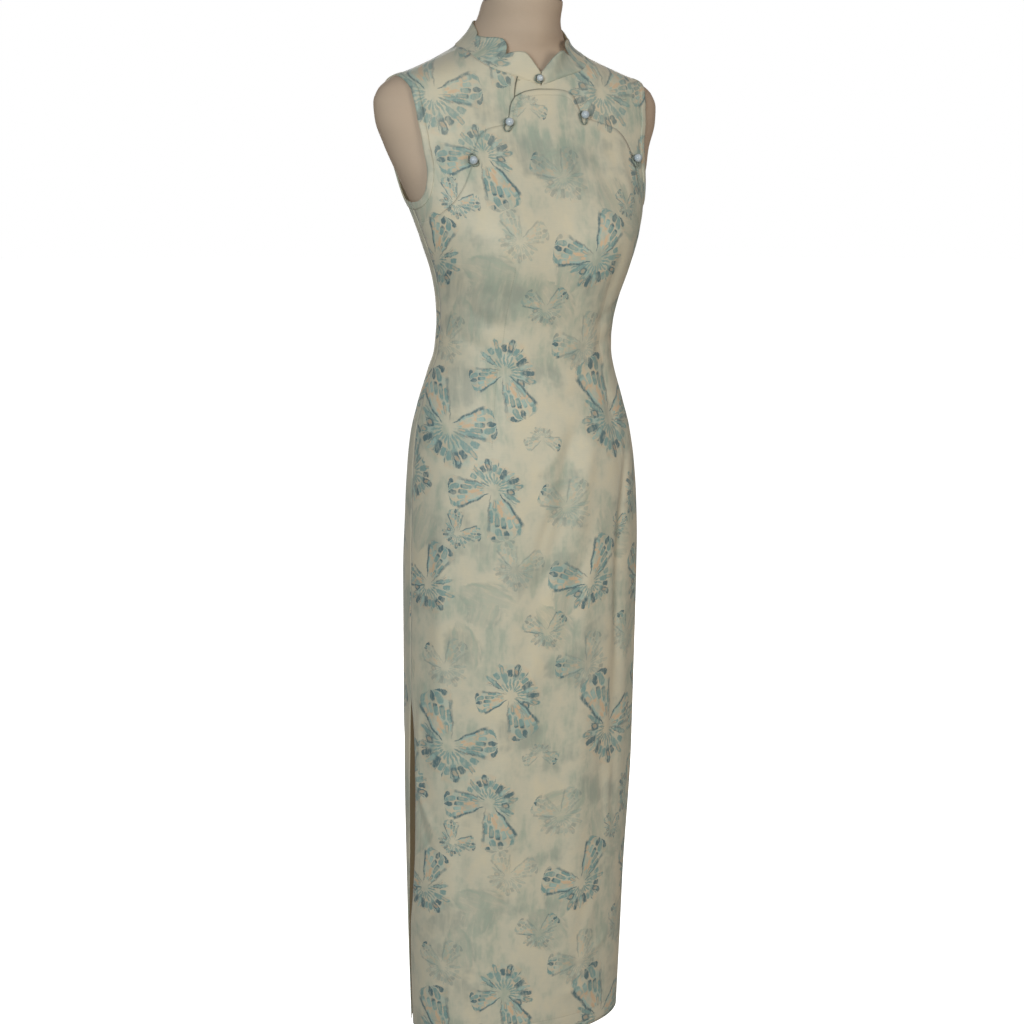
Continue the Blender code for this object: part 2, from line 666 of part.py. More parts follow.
def build_buttons(pearl, cord):
    """Five pearl buttons, each held by a cord loop laid round its foot."""
    for number, (turn, height, rest, radius, leg_turn, leg_drop) in enumerate(BUTTONS, 1):
        along, up, normal = (item for item in figure_frame(turn, height))
        lift = rest + GAP + radius
        middle = Vector(laid(turn, height, lift))
        ball = bmesh.new()
        bmesh.ops.create_uvsphere(ball, u_segments=10, v_segments=7, radius=radius)
        facing = Vector(normal).to_track_quat("Z", "Y").to_matrix().to_4x4()
        bmesh.ops.transform(ball, matrix=Matrix.Translation(middle) @ facing, verts=ball.verts)
        bmesh.ops.triangulate(ball, faces=ball.faces)
        points = np.array([vertex.co for vertex in ball.verts])
        faces = [tuple(vertex.index for vertex in face.verts) for face in ball.faces]
        ball.free()
        solid_object(f"button_{number}", points, faces, pearl)
        build_loop(f"button_loop_{number}", turn, height, rest, radius, (leg_turn, leg_drop), cord)


def build_loop(name, turn, height, rest, radius, leg, material):
    """A loop of cord round the foot of a button, drawn out into a leg where it is sewn down."""
    along, up, _ = figure_frame(turn, height)
    per_turn, per_height = np.linalg.norm(along), np.linalg.norm(up)
    lift = rest + 2 * GAP + LOOP_RADIUS
    ring = math.sqrt((radius + LOOP_RADIUS + 2 * GAP) ** 2 - (rest + GAP + radius - lift) ** 2) + 2 * GAP
    sweep = np.linspace(0, 2 * math.pi, 14, endpoint=False)
    length = math.hypot(*leg)
    direction = math.atan2(leg[1], leg[0]) if length else 0.0
    toward = np.clip(np.cos(sweep - direction), 0, 1) ** 6 * length
    reach = ring * (1 + 0.9 * toward)
    side, rise = reach * np.cos(sweep), reach * np.sin(sweep)
    centres = laid(turn + side / per_turn, height + rise / per_height, np.full(len(sweep), lift))
    out = figure_frame(turn + side / per_turn, height + rise / per_height)[2]
    ahead = np.roll(centres, -1, 0) - np.roll(centres, 1, 0)
    across = np.cross(out, ahead)
    across /= np.linalg.norm(across, axis=1, keepdims=True)
    faces_round = 5
    rings = []
    for k in range(faces_round):
        angle = 2 * math.pi * k / faces_round
        rings.append(centres + LOOP_RADIUS * (math.cos(angle) * across + math.sin(angle) * out))
    points = np.stack(rings, 1).reshape(-1, 3)
    faces = []
    for i in range(len(sweep)):
        for k in range(faces_round):
            a, b = i * faces_round + k, i * faces_round + (k + 1) % faces_round
            after = ((i + 1) % len(sweep)) * faces_round
            c, d = after + (k + 1) % faces_round, after + k
            faces += [(a, c, d), (a, b, c)]
    solid_object(name, points, faces, material)


def main():
    clear_scene()
    materials = make_materials()
    silk = materials["printed_silk"]
    edge, right_count = placket_edge()
    lap = underlap_edge(edge)
    front, lift = front_places(edge, lap)
    cloth("front_panel", front, lift, silk)
    back = back_places()
    cloth("back_panel", off_seams(back), 0.0, silk)
    yoke_right = yoke_places(edge[:right_count], lap[:right_count], -1)
    cloth("yoke_right", off_seams(yoke_right), 0.0, silk)
    yoke_left = yoke_places(edge[right_count - 1 :], lap[right_count - 1 :], 1)
    flap = yoke_left[:, :1] - (FLAP_REACH, 0)
    flap[..., 1] = np.minimum(flap[..., 1], neckline(flap[..., 0]))
    flap[-1, 0, 1] = neckline(flap[-1, 0, 0])
    left_places = np.concatenate([flap, yoke_left], 1)
    sunk = np.zeros(left_places.shape[:2])
    sunk[:, :2] = -(WALL + 2.5 * GAP)
    sunk[:, 2] = sunk[:, 0] * 0.3
    cloth("yoke_left", off_seams(left_places), sunk, silk)
    collar, stand_off = collar_places()
    cloth("collar", collar, stand_off, silk)
    for name, side in (("binding_right", -1), ("binding_left", 1)):
        cloth(name, binding_places(side), BINDING_LIFT + BINDING_WALL, silk, BINDING_WALL, ring=True)
    build_buttons(materials["pearl"], materials["loop_cord"])
    build_form(materials["form_skin"], materials["dark_metal"])
    build_stand(materials["dark_metal"])


main()
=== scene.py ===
"""Detailed model of a long sleeveless silk cheongsam on a limbless dress form with a round stand.

It is laid out as an add-on: each piece of the dress, the form, the stand and the studio has an operator of
its own in the sidebar. Every cloth piece is a thin shell on one figure surface, which is given by horizontal
sections. A place on that surface is a turn in degrees (0 at the front middle, 90 at the wearer's left side,
180 at the back) and a height in metres.
"""

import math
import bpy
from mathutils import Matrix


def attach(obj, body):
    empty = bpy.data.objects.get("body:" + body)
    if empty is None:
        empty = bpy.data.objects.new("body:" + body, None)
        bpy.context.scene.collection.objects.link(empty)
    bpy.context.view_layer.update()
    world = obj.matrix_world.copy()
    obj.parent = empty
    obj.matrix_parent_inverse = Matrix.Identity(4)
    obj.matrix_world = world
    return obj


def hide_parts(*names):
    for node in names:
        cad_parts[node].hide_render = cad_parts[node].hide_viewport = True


bl_info = {
    "name": "Printed silk cheongsam",
    "version": (1, 0, 0),
    "blender": (4, 5, 0),
    "location": "3D View > Sidebar > Cheongsam",
    "description": "Makes the pieces of a printed silk cheongsam, its dress form, stand and studio",
    "category": "Add Mesh",
}

import bmesh
import bpy
import numpy as np
from mathutils import Matrix, Vector

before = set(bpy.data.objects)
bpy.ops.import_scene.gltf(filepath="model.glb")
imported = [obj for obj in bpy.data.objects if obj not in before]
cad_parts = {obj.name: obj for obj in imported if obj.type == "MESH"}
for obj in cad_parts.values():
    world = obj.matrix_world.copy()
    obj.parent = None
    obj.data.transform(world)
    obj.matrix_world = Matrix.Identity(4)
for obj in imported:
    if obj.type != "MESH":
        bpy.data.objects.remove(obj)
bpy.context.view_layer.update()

# Driving dimensions, metres
WALL = 0.0015  # thickness of one layer of cloth
GAP = 0.0003  # clearance at seams and between layers
HEM = 0.135  # height of the hem above the floor
SLIT_TOP = 0.607
UNDERARM = 1.247
SHOULDER_TIP = 1.4045
PLACKET_SIDE = 1.222  # height where the placket's edge reaches the side seams
COLLAR_GAP = 0.0010  # clearance between the collar and the neckline below it
UNDERLAP = 0.012  # how far the yokes run on below the placket's edge
BINDING_WIDTH = 0.009
NECK_TOP = 1.4985
CAP_TOP = 1.512
FIGURE_TOP = 1.5  # highest place on the figure that cloth may settle at
FORM_FOOT = 0.745
BASE_RADIUS = 0.180
BASE_THICK = 0.010
HUB_RADIUS = 0.030
HUB_TOP = 0.032
POLE_RADIUS = 0.0125
LOOP_RADIUS = 0.0009  # half the thickness of a button loop's cord
SHOULDER_BEND = 1.428  # height halfway along the shoulder seam

# Horizontal sections of the figure in its close dress
SECTIONS = np.array([
    # height, half_width, front, back, centre, squareness
    (0.110, 0.148, 0.104, 0.106, 0.022, 2.10),
    (0.300, 0.154, 0.108, 0.110, 0.018, 2.10),
    (0.500, 0.158, 0.112, 0.113, 0.013, 2.10),
    (0.700, 0.158, 0.117, 0.117, 0.007, 2.10),
    (0.860, 0.157, 0.119, 0.119, 0.003, 2.10),
    (0.910, 0.155, 0.115, 0.113, 0.002, 2.10),
    (0.950, 0.151, 0.109, 0.106, 0.003, 2.05),
    (0.990, 0.1415, 0.102, 0.097, 0.004, 2.00),
    (1.030, 0.129, 0.095, 0.088, 0.003, 2.00),
    (1.060, 0.1215, 0.091, 0.084, -0.003, 2.00),
    (1.090, 0.1205, 0.090, 0.084, -0.008, 2.00),
    (1.120, 0.1235, 0.091, 0.088, -0.014, 2.00),
    (1.160, 0.133, 0.091, 0.097, -0.022, 2.00),
    (1.200, 0.147, 0.088, 0.106, -0.024, 2.00),
    (1.230, 0.157, 0.088, 0.108, -0.020, 2.00),
    (1.260, 0.168, 0.088, 0.106, -0.012, 2.00),
    (1.290, 0.180, 0.085, 0.102, -0.004, 2.00),
    (1.320, 0.191, 0.081, 0.096, 0.006, 2.00),
    (1.350, 0.202, 0.075, 0.087, 0.009, 2.00),
    (1.370, 0.204, 0.069, 0.080, 0.010, 2.00),
    (1.385, 0.198, 0.067, 0.074, 0.011, 2.00),
    (1.400, 0.179, 0.066, 0.068, 0.013, 2.00),
    (1.415, 0.141, 0.0685, 0.062, 0.017, 1.95),
    (1.430, 0.107, 0.0755, 0.054, 0.025, 1.80),
    (1.445, 0.080, 0.079, 0.048, 0.029, 1.70),
    (1.465, 0.062, 0.071, 0.050, 0.021, 1.80),
    (1.485, 0.054, 0.058, 0.053, 0.007, 1.95),
    (1.505, 0.050, 0.046, 0.056, -0.006, 2.00),
])

# Rounded bust, one row for each side
BUST = [
    # x, height, spread, rise
    (0.085, 1.196, 0.045, 0.022),
    (-0.085, 1.196, 0.045, 0.022),
]

# The largest soft folds of the cloth: a ridge where the rise is positive, a trough where negative
FOLDS = [
    # top_turn, top_height, foot_turn, foot_height, half_width, rise
    (-30, 1.205, -34, 0.930, 0.011, -0.0016),
    (38, 1.190, 40, 0.880, 0.011, -0.0018),
    (41, 0.870, 37, 0.420, 0.014, -0.0030),
    (3, 0.868, -11, 0.740, 0.012, -0.0028),
    (-24, 0.800, -30, 0.330, 0.020, 0.0030),
    (14, 0.620, 10, 0.200, 0.018, 0.0026),
    (-60, 0.860, -64, 0.480, 0.016, 0.0024),
    (68, 0.880, 66, 0.380, 0.018, 0.0028),
    (152, 1.215, 150, 0.950, 0.012, -0.0020),
    (208, 1.215, 210, 0.950, 0.012, -0.0020),
    (160, 0.800, 156, 0.300, 0.018, 0.0032),
    (198, 0.760, 204, 0.220, 0.020, -0.0028),
    (118, 0.820, 122, 0.360, 0.018, -0.0024),
    (242, 0.840, 238, 0.420, 0.018, 0.0026),
    (180, 1.090, 180, 1.010, 0.030, -0.0022),
]

FOLD_TOP, FOLD_FOOT = (-0.12, 0.18), (-0.12, 0.30)  # shares of its length over which a fold comes in

# Corners of the neckline, where the collar is sewn on, alike on both sides
NECKLINE = np.array([
    # turn, height
    (0, 1.3920),
    (3.4, 1.3955),
    (6.9, 1.3990),
    (10.3, 1.4025),
    (16.5, 1.4070),
    (23, 1.4110),
    (36, 1.4205),
    (50, 1.4295),
    (69, 1.4390),
    (90, 1.4440),
    (112, 1.4470),
    (135, 1.4480),
    (158, 1.4480),
    (180, 1.4480),
])

# Top edge of the stand collar, two petals on each side of the front notch
COLLAR_TOP = np.array([
    # turn, height, flare
    (0, 1.4085, 0.0020),
    (7, 1.4230, 0.0040),
    (12, 1.4325, 0.0058),
    (18, 1.4325, 0.0045),
    (23, 1.4290, 0.0030),
    (30, 1.4385, 0.0040),
    (36, 1.4475, 0.0046),
    (50, 1.4495, 0.0028),
    (69, 1.4540, 0.0012),
    (75, 1.4615, 0.0010),
    (98, 1.4720, 0.0008),
    (140, 1.4770, 0.0008),
    (180, 1.4780, 0.0008),
])

# Armhole edge from the underarm to the shoulder tip, alike on both sides
ARMHOLE_FRONT = [
    # turn, height
    (90, UNDERARM),
    (82, 1.2476),
    (73, 1.2530),
    (66, 1.2660),
    (59.5, 1.2880),
    (56.5, 1.3100),
    (53.5, 1.3400),
    (53, 1.3640),
    (57, 1.3860),
    (74, 1.4010),
    (90, SHOULDER_TIP),
]
ARMHOLE_BACK = [
    # turn, height
    (90, UNDERARM),
    (98, 1.2490),
    (106, 1.2580),
    (114, 1.2780),
    (119, 1.3050),
    (122, 1.3350),
    (121, 1.3680),
    (114, 1.3890),
    (104, 1.4000),
    (90, SHOULDER_TIP),
]

# Scalloped placket edge from the wearer's right underarm to the left one, in arcs that meet at buttons
PLACKET_ARCS = [
    # columns, then the arc's points as turn and height
    (6, [(-90, PLACKET_SIDE), (-70, 1.2290), (-55, 1.2450), (-44, 1.2660), (-34.5, 1.2955)]),
    (6, [(-34.5, 1.2955), (-31.2, 1.3138), (-27.4, 1.3298), (-23, 1.3380), (-15, 1.3435)]),
    (4, [(-15, 1.3435), (-13.6, 1.3590), (-12.6, 1.3690), (-10.8, 1.3783)]),
    (10, [(-10.8, 1.3783), (-6.4, 1.3850), (0, 1.3880), (6, 1.3880), (12, 1.3835), (15.7, 1.3535)]),
    (6, [(15.7, 1.3535), (24, 1.3465), (31.2, 1.3404), (40, 1.3220), (45.5, 1.3000)]),
    (6, [(45.5, 1.3000), (50, 1.2760), (57, 1.2540), (70, 1.2330), (90, PLACKET_SIDE)]),
]
RIGHT_ARCS = 3  # the first arcs, up to the right yoke's front edge
FLAP_REACH = 5.0  # degrees that the left yoke's flap runs on under the right yoke
YOKE_EDGE_TOP = -10.3  # turn at which the right yoke's front edge meets the collar

# Edges of the front and back panels along the two side slits
SLIT = np.array([
    # height, right_front, right_back, left_front, left_back
    (HEM, -98, -106, 66, 80),
    (0.200, -98, -105, 72, 84),
    (0.270, -96, -102, 79, 88),
    (0.330, -89, -97, 82, 91),
    (0.400, -84, -93, 84, 92),
    (0.490, -82.5, -91.5, 85, 91.5),
    (0.560, -85, -90.8, 87, 90.8),
    (SLIT_TOP, -90, -90, 90, 90),
])

# Heights of the cross rows of the front and back panels, before they are divided
SKIRT_ROWS = [HEM, 0.20, 0.27, 0.34, 0.41, 0.49, 0.555, SLIT_TOP, 0.67, 0.73, 0.79, 0.84, 0.88]
WAIST_ROWS = [0.92, 0.955, 0.99, 1.02, 1.05, 1.075, 1.10, 1.13, 1.16]
SIDE_ROWS = [1.192, PLACKET_SIDE - UNDERLAP]
CHEST_ROWS = 6  # rows of the front panel between the last waist row and the underlap
ARMHOLE_STEPS = 9
EVENING_PASSES = 60  # how often the places of an upper patch are evened out
KNEE = 2  # armhole steps that run across the columns, before it turns up beside the rows
KNEE_ROWS = 2  # rows between a panel's edge or last side row and the armhole's knee
SHOULDER_COLUMNS = 8
COLLAR_ROWS = 4

# How far the form's skin lies inside the figure surface
FORM_INSET = np.array([
    # height, inset
    (FORM_FOOT, 0.0120),
    (0.900, 0.0075),
    (1.000, 0.0052),
    (1.410, 0.0052),
    (1.434, 0.0092),
    (1.448, 0.0056),
    (1.462, 0.0024),
    (1.475, 0.0024),
    (1.492, 0.0),
])
SHOULDER_INSET = 0.0045
BROAD_SIDE = (0.55, 0.85)  # sines of the turns between which the shoulder's inset comes in
BROAD_FOOT, BROAD_TOP = (1.25, 1.29), (1.405, 1.425)  # heights between which it comes in and goes
FORM_ROWS = [FORM_FOOT, FORM_FOOT + 0.006, FORM_FOOT + 0.02, 0.80, 0.86, 0.91, 0.95, 0.99, 1.03]
FORM_ROWS += [1.06, 1.09, 1.125, 1.16, 1.19, 1.22, 1.25, 1.28, 1.305, 1.33, 1.35, 1.367, 1.382]
FORM_ROWS += [1.395, 1.406, 1.416, 1.425, 1.433, 1.441, 1.450, 1.462, 1.478, NECK_TOP]
FOOT_SHARES = [0.88, 0.95, 1.0]  # how wide the form is drawn at its first three rows
NECK_CAP = np.array([
    # height, share of the neck's outline
    (NECK_TOP + GAP, 0.94),
    (NECK_TOP + GAP, 0.965),
    (NECK_TOP + 0.0015, 0.98),
    (NECK_TOP + 0.006, 0.985),
    (NECK_TOP + 0.0085, 0.975),
    (NECK_TOP + 0.010, 0.95),
    (CAP_TOP - 0.0012, 0.83),
    (CAP_TOP, 0.78),
    (CAP_TOP, 0.4),
])

# Turned sizes of the stand
BASE_RIM = 0.002  # radius of the base plate's rounded rim
POLE_RIM = 0.0008
RIM_STEPS, BASE_STEPS, POLE_STEPS = 6, 128, 48
HUB_PROFILE = [
    # radius, height
    (HUB_RADIUS + 0.012, BASE_THICK + 0.0008),
    (HUB_RADIUS + 0.006, BASE_THICK + 0.003),
    (HUB_RADIUS + 0.0015, BASE_THICK + 0.0055),
    (HUB_RADIUS, BASE_THICK + 0.008),
    (HUB_RADIUS * 0.77, HUB_TOP - 0.0015),
    (HUB_RADIUS * 0.73, HUB_TOP),
    (0.0, HUB_TOP),
]

# Pearl buttons, from the collar to the wearer's left underarm
BUTTONS = [
    # turn, height, rest, radius, leg_turn, leg_drop
    (-1.2, 1.3999, 0.0016, 0.0042, 0.0, 0.0),
    (-15.0, 1.3440, 0.0018, 0.0052, -0.5, -1.0),
    (-34.5, 1.2958, 0.0018, 0.0052, 0.2, 1.0),
    (15.7, 1.3540, 0.0018, 0.0052, 0.0, -1.0),
    (45.5, 1.3003, 0.0018, 0.0052, 0.5, -1.0),
]

# How finely the places of the solids are divided for the cloth
FINER = 3
ROW_STEP = 0.005
CURVE_STEPS = 40  # for each point of a curve, before places are spaced along it
LONGEST_TURN, LONGEST_RISE = 8, 0.01  # of one pass that settles a place on the figure
SEAM_SHARE = 0.7  # of the clearance at a seam, that each side keeps off it
FAR = 9.0  # farther than any seam, metres

# Smaller creases of the cloth: a ridge where the rise is positive, a trough where negative
CREASES = [
    # turn, height, end_turn, end_height, half_width, rise
    (-51, 1.318, -48, 1.280, 0.006, -0.0016),
    (-45, 1.322, -43, 1.290, 0.005, -0.0010),
    (-57, 1.262, -40, 1.235, 0.007, -0.0014),
    (-20, 1.330, -30, 1.240, 0.009, -0.0012),
    (2, 1.345, 10, 1.250, 0.010, 0.0012),
    (20, 1.330, 34, 1.235, 0.009, -0.0014),
    (33, 1.325, 46, 1.245, 0.007, 0.0012),
    (-62, 1.120, -25, 1.085, 0.007, -0.0013),
    (-70, 1.085, -38, 1.062, 0.006, -0.0012),
    (-58, 1.040, -20, 1.052, 0.008, 0.0011),
    (64, 1.118, 30, 1.086, 0.007, -0.0013),
    (70, 1.075, 34, 1.060, 0.007, -0.0013),
    (56, 1.035, 18, 1.046, 0.008, 0.0010),
    (34, 1.010, -4, 0.985, 0.010, -0.0009),
    (11, 0.965, 1, 0.845, 0.011, -0.0036),
    (21, 0.950, 10, 0.800, 0.010, 0.0018),
    (-14, 0.905, 2, 0.942, 0.005, 0.0009),
    (-2, 0.868, -12, 0.770, 0.006, -0.0016),
    (14, 0.800, 4, 0.680, 0.008, -0.0012),
    (50, 0.950, 43, 0.620, 0.007, -0.0026),
    (18, 0.240, 40, 0.262, 0.005, 0.0012),
    (5, 0.193, 32, 0.203, 0.006, 0.0010),
    (-82, 0.510, -60, 0.415, 0.005, 0.0014),
    (-80, 0.465, -62, 0.385, 0.005, -0.0012),
    (24, 0.842, 15, 0.640, 0.009, 0.0014),
    (-8, 0.700, -12, 0.520, 0.012, 0.0014),
    (30, 0.560, 34, 0.420, 0.009, -0.0016),
    (38, 0.520, 39, 0.360, 0.007, 0.0014),
    (-40, 0.560, -43, 0.300, 0.011, -0.0015),
    (-18, 0.420, -22, 0.180, 0.011, -0.0015),
    (26, 0.330, 22, 0.160, 0.010, 0.0014),
    (-72, 0.640, -76, 0.450, 0.007, 0.0014),
    (78, 0.640, 76, 0.480, 0.007, -0.0014),
    (120, 1.105, 152, 1.075, 0.007, -0.0014),
    (114, 1.078, 146, 1.056, 0.007, 0.0011),
    (126, 1.042, 160, 1.050, 0.009, -0.0011),
    (240, 1.108, 208, 1.078, 0.007, -0.0013),
    (247, 1.074, 214, 1.056, 0.007, -0.0012),
    (236, 1.038, 202, 1.048, 0.009, 0.0011),
    (128, 1.330, 150, 1.250, 0.009, -0.0013),
    (232, 1.325, 212, 1.255, 0.008, -0.0013),
    (165, 1.390, 176, 1.300, 0.010, 0.0010),
    (194, 1.392, 186, 1.310, 0.009, -0.0010),
    (150, 0.860, 143, 0.730, 0.009, -0.0014),
    (214, 0.850, 222, 0.700, 0.009, -0.0015),
    (186, 0.780, 181, 0.560, 0.011, 0.0014),
    (172, 0.560, 168, 0.330, 0.012, -0.0015),
    (212, 0.520, 216, 0.260, 0.011, 0.0014),
    (135, 0.520, 132, 0.250, 0.010, 0.0015),
    (246, 0.560, 248, 0.380, 0.008, -0.0014),
]

CREASE_START, CREASE_FINISH = (-0.10, 0.25), (-0.10, 0.35)  # shares over which a crease comes in
CREASE_BEND = 0.06  # how far a crease bows out, as a share of its length

# Dart seams of the front and back panels, sewn from a wide middle at the waist to two points
DARTS = [
    # points as turn and height, from the top down
    [(-28.6, 1.170), (-33.0, 1.075), (-34.0, 0.940)],
    [(34.0, 1.165), (40.0, 1.070), (43.0, 0.900)],
    [(152.0, 1.200), (151.0, 1.075), (151.5, 0.925)],
    [(208.0, 1.200), (209.0, 1.075), (208.5, 0.925)],
]

# Top edge of the collar's petals, in arcs that meet at the cusps between them
CUSP = (24.2, 1.4285)
COLLAR_ARCS = [
    # columns, then the arc's points as turn and height
    (18, [(0.25, 1.4085), (4, 1.4190), (8, 1.4272), (12, 1.4316), (17, 1.4322), (21, 1.4310), CUSP]),
    (24, [CUSP, (27, 1.4370), (31, 1.4440), (36, 1.4482), (44, 1.4500), (54, 1.4508), (68, 1.4540)]),
    (48, [(68, 1.4540), (73, 1.4595), (80, 1.4645), (98, 1.4725), (140, 1.4770), (180, 1.4780)]),
]
PETAL_CREST = 0.0075  # how far the crest of the left front petal stands off the neck
PETAL_TURN, PETAL_LEAN, PETAL_WIDTH = 4, 9, 6.5  # where that crest stands, how it leans outwards, its width
COLLAR_OUT = 0.0008  # how far the collar's foot stands off the neck
COLLAR_FOOT = np.array([
    # height over the collar's seam, distance out, of the rows tucked in below it
    (-0.0045, -0.0016),
    (-0.0018, -0.0012),
    (-0.0006, 0.0002),
])

# Between these heights the print grows paler and the washes stronger, towards the shoulders
SHOULDER_BLEND = (1.27, 1.33)

# The print repeats up the cloth at this distance, metres
REPEAT = 0.415
PRINT_WIDTH = 0.50  # and across it at this one

# Butterflies of the print in one repeat: a body, two forewings and one fan of hindwing strokes
BUTTERFLIES = [
    # across, up, wing_a, length_a, wing_b, length_b, fan, fan_length, strength
    (-0.065, 1.035, 195, 0.046, 292, 0.064, 45, 0.046, 1.0),
    (-0.143, 0.965, 112, 0.078, 6, 0.064, 250, 0.056, 1.0),
    (0.090, 0.970, 114, 0.088, 20, 0.066, 245, 0.056, 1.0),
    (-0.090, 0.890, 186, 0.060, 286, 0.070, 68, 0.042, 1.0),
    (-0.137, 0.832, 95, 0.032, 0, 0.032, 235, 0.022, 0.9),
    (-0.180, 0.762, 66, 0.060, 168, 0.046, 278, 0.044, 1.0),
    (0.045, 0.762, 60, 0.066, 166, 0.062, 300, 0.044, 1.0),
    (-0.022, 0.952, 200, 0.026, 336, 0.028, 90, 0.018, 0.5),
    (0.104, 0.826, 124, 0.024, 30, 0.024, 262, 0.020, 0.8),
    (0.152, 0.868, 70, 0.050, 330, 0.056, 195, 0.040, 0.9),
    (0.183, 0.985, 100, 0.066, 205, 0.050, 320, 0.046, 1.0),
    (0.178, 0.745, 35, 0.070, 132, 0.060, 262, 0.048, 1.0),
    (-0.216, 0.905, 84, 0.062, 190, 0.058, 310, 0.048, 1.0),
    (-0.018, 0.700, 150, 0.036, 40, 0.034, 270, 0.026, 0.55),
    (0.010, 0.862, 60, 0.042, 150, 0.046, 275, 0.036, 0.40),
    (-0.062, 0.785, 20, 0.042, 110, 0.040, 240, 0.030, 0.40),
    (0.045, 1.065, 75, 0.046, 175, 0.050, 300, 0.038, 0.45),
    (0.130, 1.090, 30, 0.038, 120, 0.038, 250, 0.030, 0.40),
    (-0.150, 1.070, 60, 0.042, 150, 0.042, 270, 0.032, 0.40),
]

# Maps of the print: name, the columns of BUTTERFLIES that set it, how far along its length its middle lies
PRINT_FRAMES = [("wing_a", (0, 1, 2, 3), 0.5), ("wing_b", (0, 1, 4, 5), 0.5), ("fan", (0, 1, 6, 7), 0.45)]

# Faint wings under the butterflies
GHOSTS = [
    # across, up, wing_a, length_a, strength
    (0.020, 1.090, 130, 0.085, 0.8),
    (-0.030, 0.860, 20, 0.085, 0.7),
    (-0.058, 0.730, 160, 0.090, 1.0),
    (0.015, 0.780, 262, 0.075, 0.8),
    (-0.020, 0.748, 15, 0.060, 0.7),
    (0.070, 0.870, 290, 0.090, 0.9),
    (-0.110, 0.700, 75, 0.080, 0.8),
    (-0.180, 0.870, 250, 0.080, 0.7),
    (0.120, 1.070, 60, 0.080, 0.9),
    (0.140, 0.800, 170, 0.070, 0.7),
    (0.205, 0.850, 60, 0.085, 0.8),
    (-0.120, 1.060, 100, 0.080, 0.9),
    (-0.215, 1.030, 120, 0.080, 0.8),
]

PRINT_SHIFT_BACK = (0.035, 0.170)  # how far the print on the back panel lies from that on the front
PRINT_SHIFT_COLLAR = (0.000, 0.020)

STITCH_INSET = 0.008  # the placket's stitched line from its edge
SLIT_INSET = 0.012
HEM_INSET = 0.024
NO_STITCH = -1.0  # length written where a seam isn't sewn
BINDING_RISE = 0.0008  # how far a binding stands over the silk's outer face
LAP_LIFT = 0.0011  # how far the front's edge lies over the yokes
LAP_TURNS = (-60, -36, -20, 20, 44, 60)
LAP_SHARES = (0.35, 0.6, 1.0, 1.0, 0.5, 0.35)  # share of the lift at those turns: pressed flatter outwards
STITCHED_ARCH = (0.3, 15.4)  # middle turn and half width of the placket's front arch, which is stitched
GATHER = 0.55  # how far the bodice's columns take on the placket's own spacing
GATHER_HEIGHTS = (0.75, 1.16)  # between which they do so more and more
CREASE_END = (1.385, 1.400)  # between these heights the small creases die out
EDGE_PULL = 6  # how quickly a finely divided patch leaves its exact edges
BINDING_CROWN = 0.0003
DART_END = 0.004  # how far a dart's stitches run on past its points
LOOP_STEPS, CORD_SIDES = 72, 12
LEG_POWER, LEG_REACH = 6, 0.9  # how narrow a loop's leg is, and how far it goes out in loop radii
BINDING_COLUMNS = 4
FLAP_POWER = 1.6  # how soon the yoke rises again beside its sunk flap
CREST_POWER = 1.2  # how late the petal's crest leaves the neck on its way up
FORM_COLUMNS, FORM_FINER = 144, 4
MERGE_DISTANCE = 0.00002
FLAP_DEPTH = WALL + 2.5 * GAP  # how deep the left yoke's flap lies below the right yoke
EDGE_SHADE = np.array([
    # turn, strength of the thin shadow along the placket's edge
    (-90, 0.0),
    (-18, 0.05),
    (-15, 0.95),
    (-9, 0.85),
    (3, 0.60),
    (9, 0.10),
    (16, 0.0),
    (90, 0.0),
])


def length(name, description, value):
    """A length setting with its default."""
    return bpy.props.FloatProperty(name=name, description=description, default=value, unit="LENGTH")


def colour(name, description, value):
    """A colour setting with its default."""
    return bpy.props.FloatVectorProperty(
        name=name, description=description, default=(*value, 1), size=4, min=0, max=1, subtype="COLOR"
    )


class CheongsamSizes(bpy.types.PropertyGroup):
    """Sizes of the cloth and the fine detail."""

    silk_thickness: length("Silk thickness", "Thickness of one layer of silk", 0.0009)
    collar_thickness: length("Collar thickness", "Thickness of the stiffened collar", 0.0012)
    crease_depth: bpy.props.FloatProperty(
        name="Crease depth", description="How deep the small creases are", default=1.6, subtype="FACTOR"
    )
    thread_step: length("Thread step", "Distance between threads of the weave", 0.0005)
    cord_twist: length("Cord twist", "Length of one twist of the button loops", 0.0022)


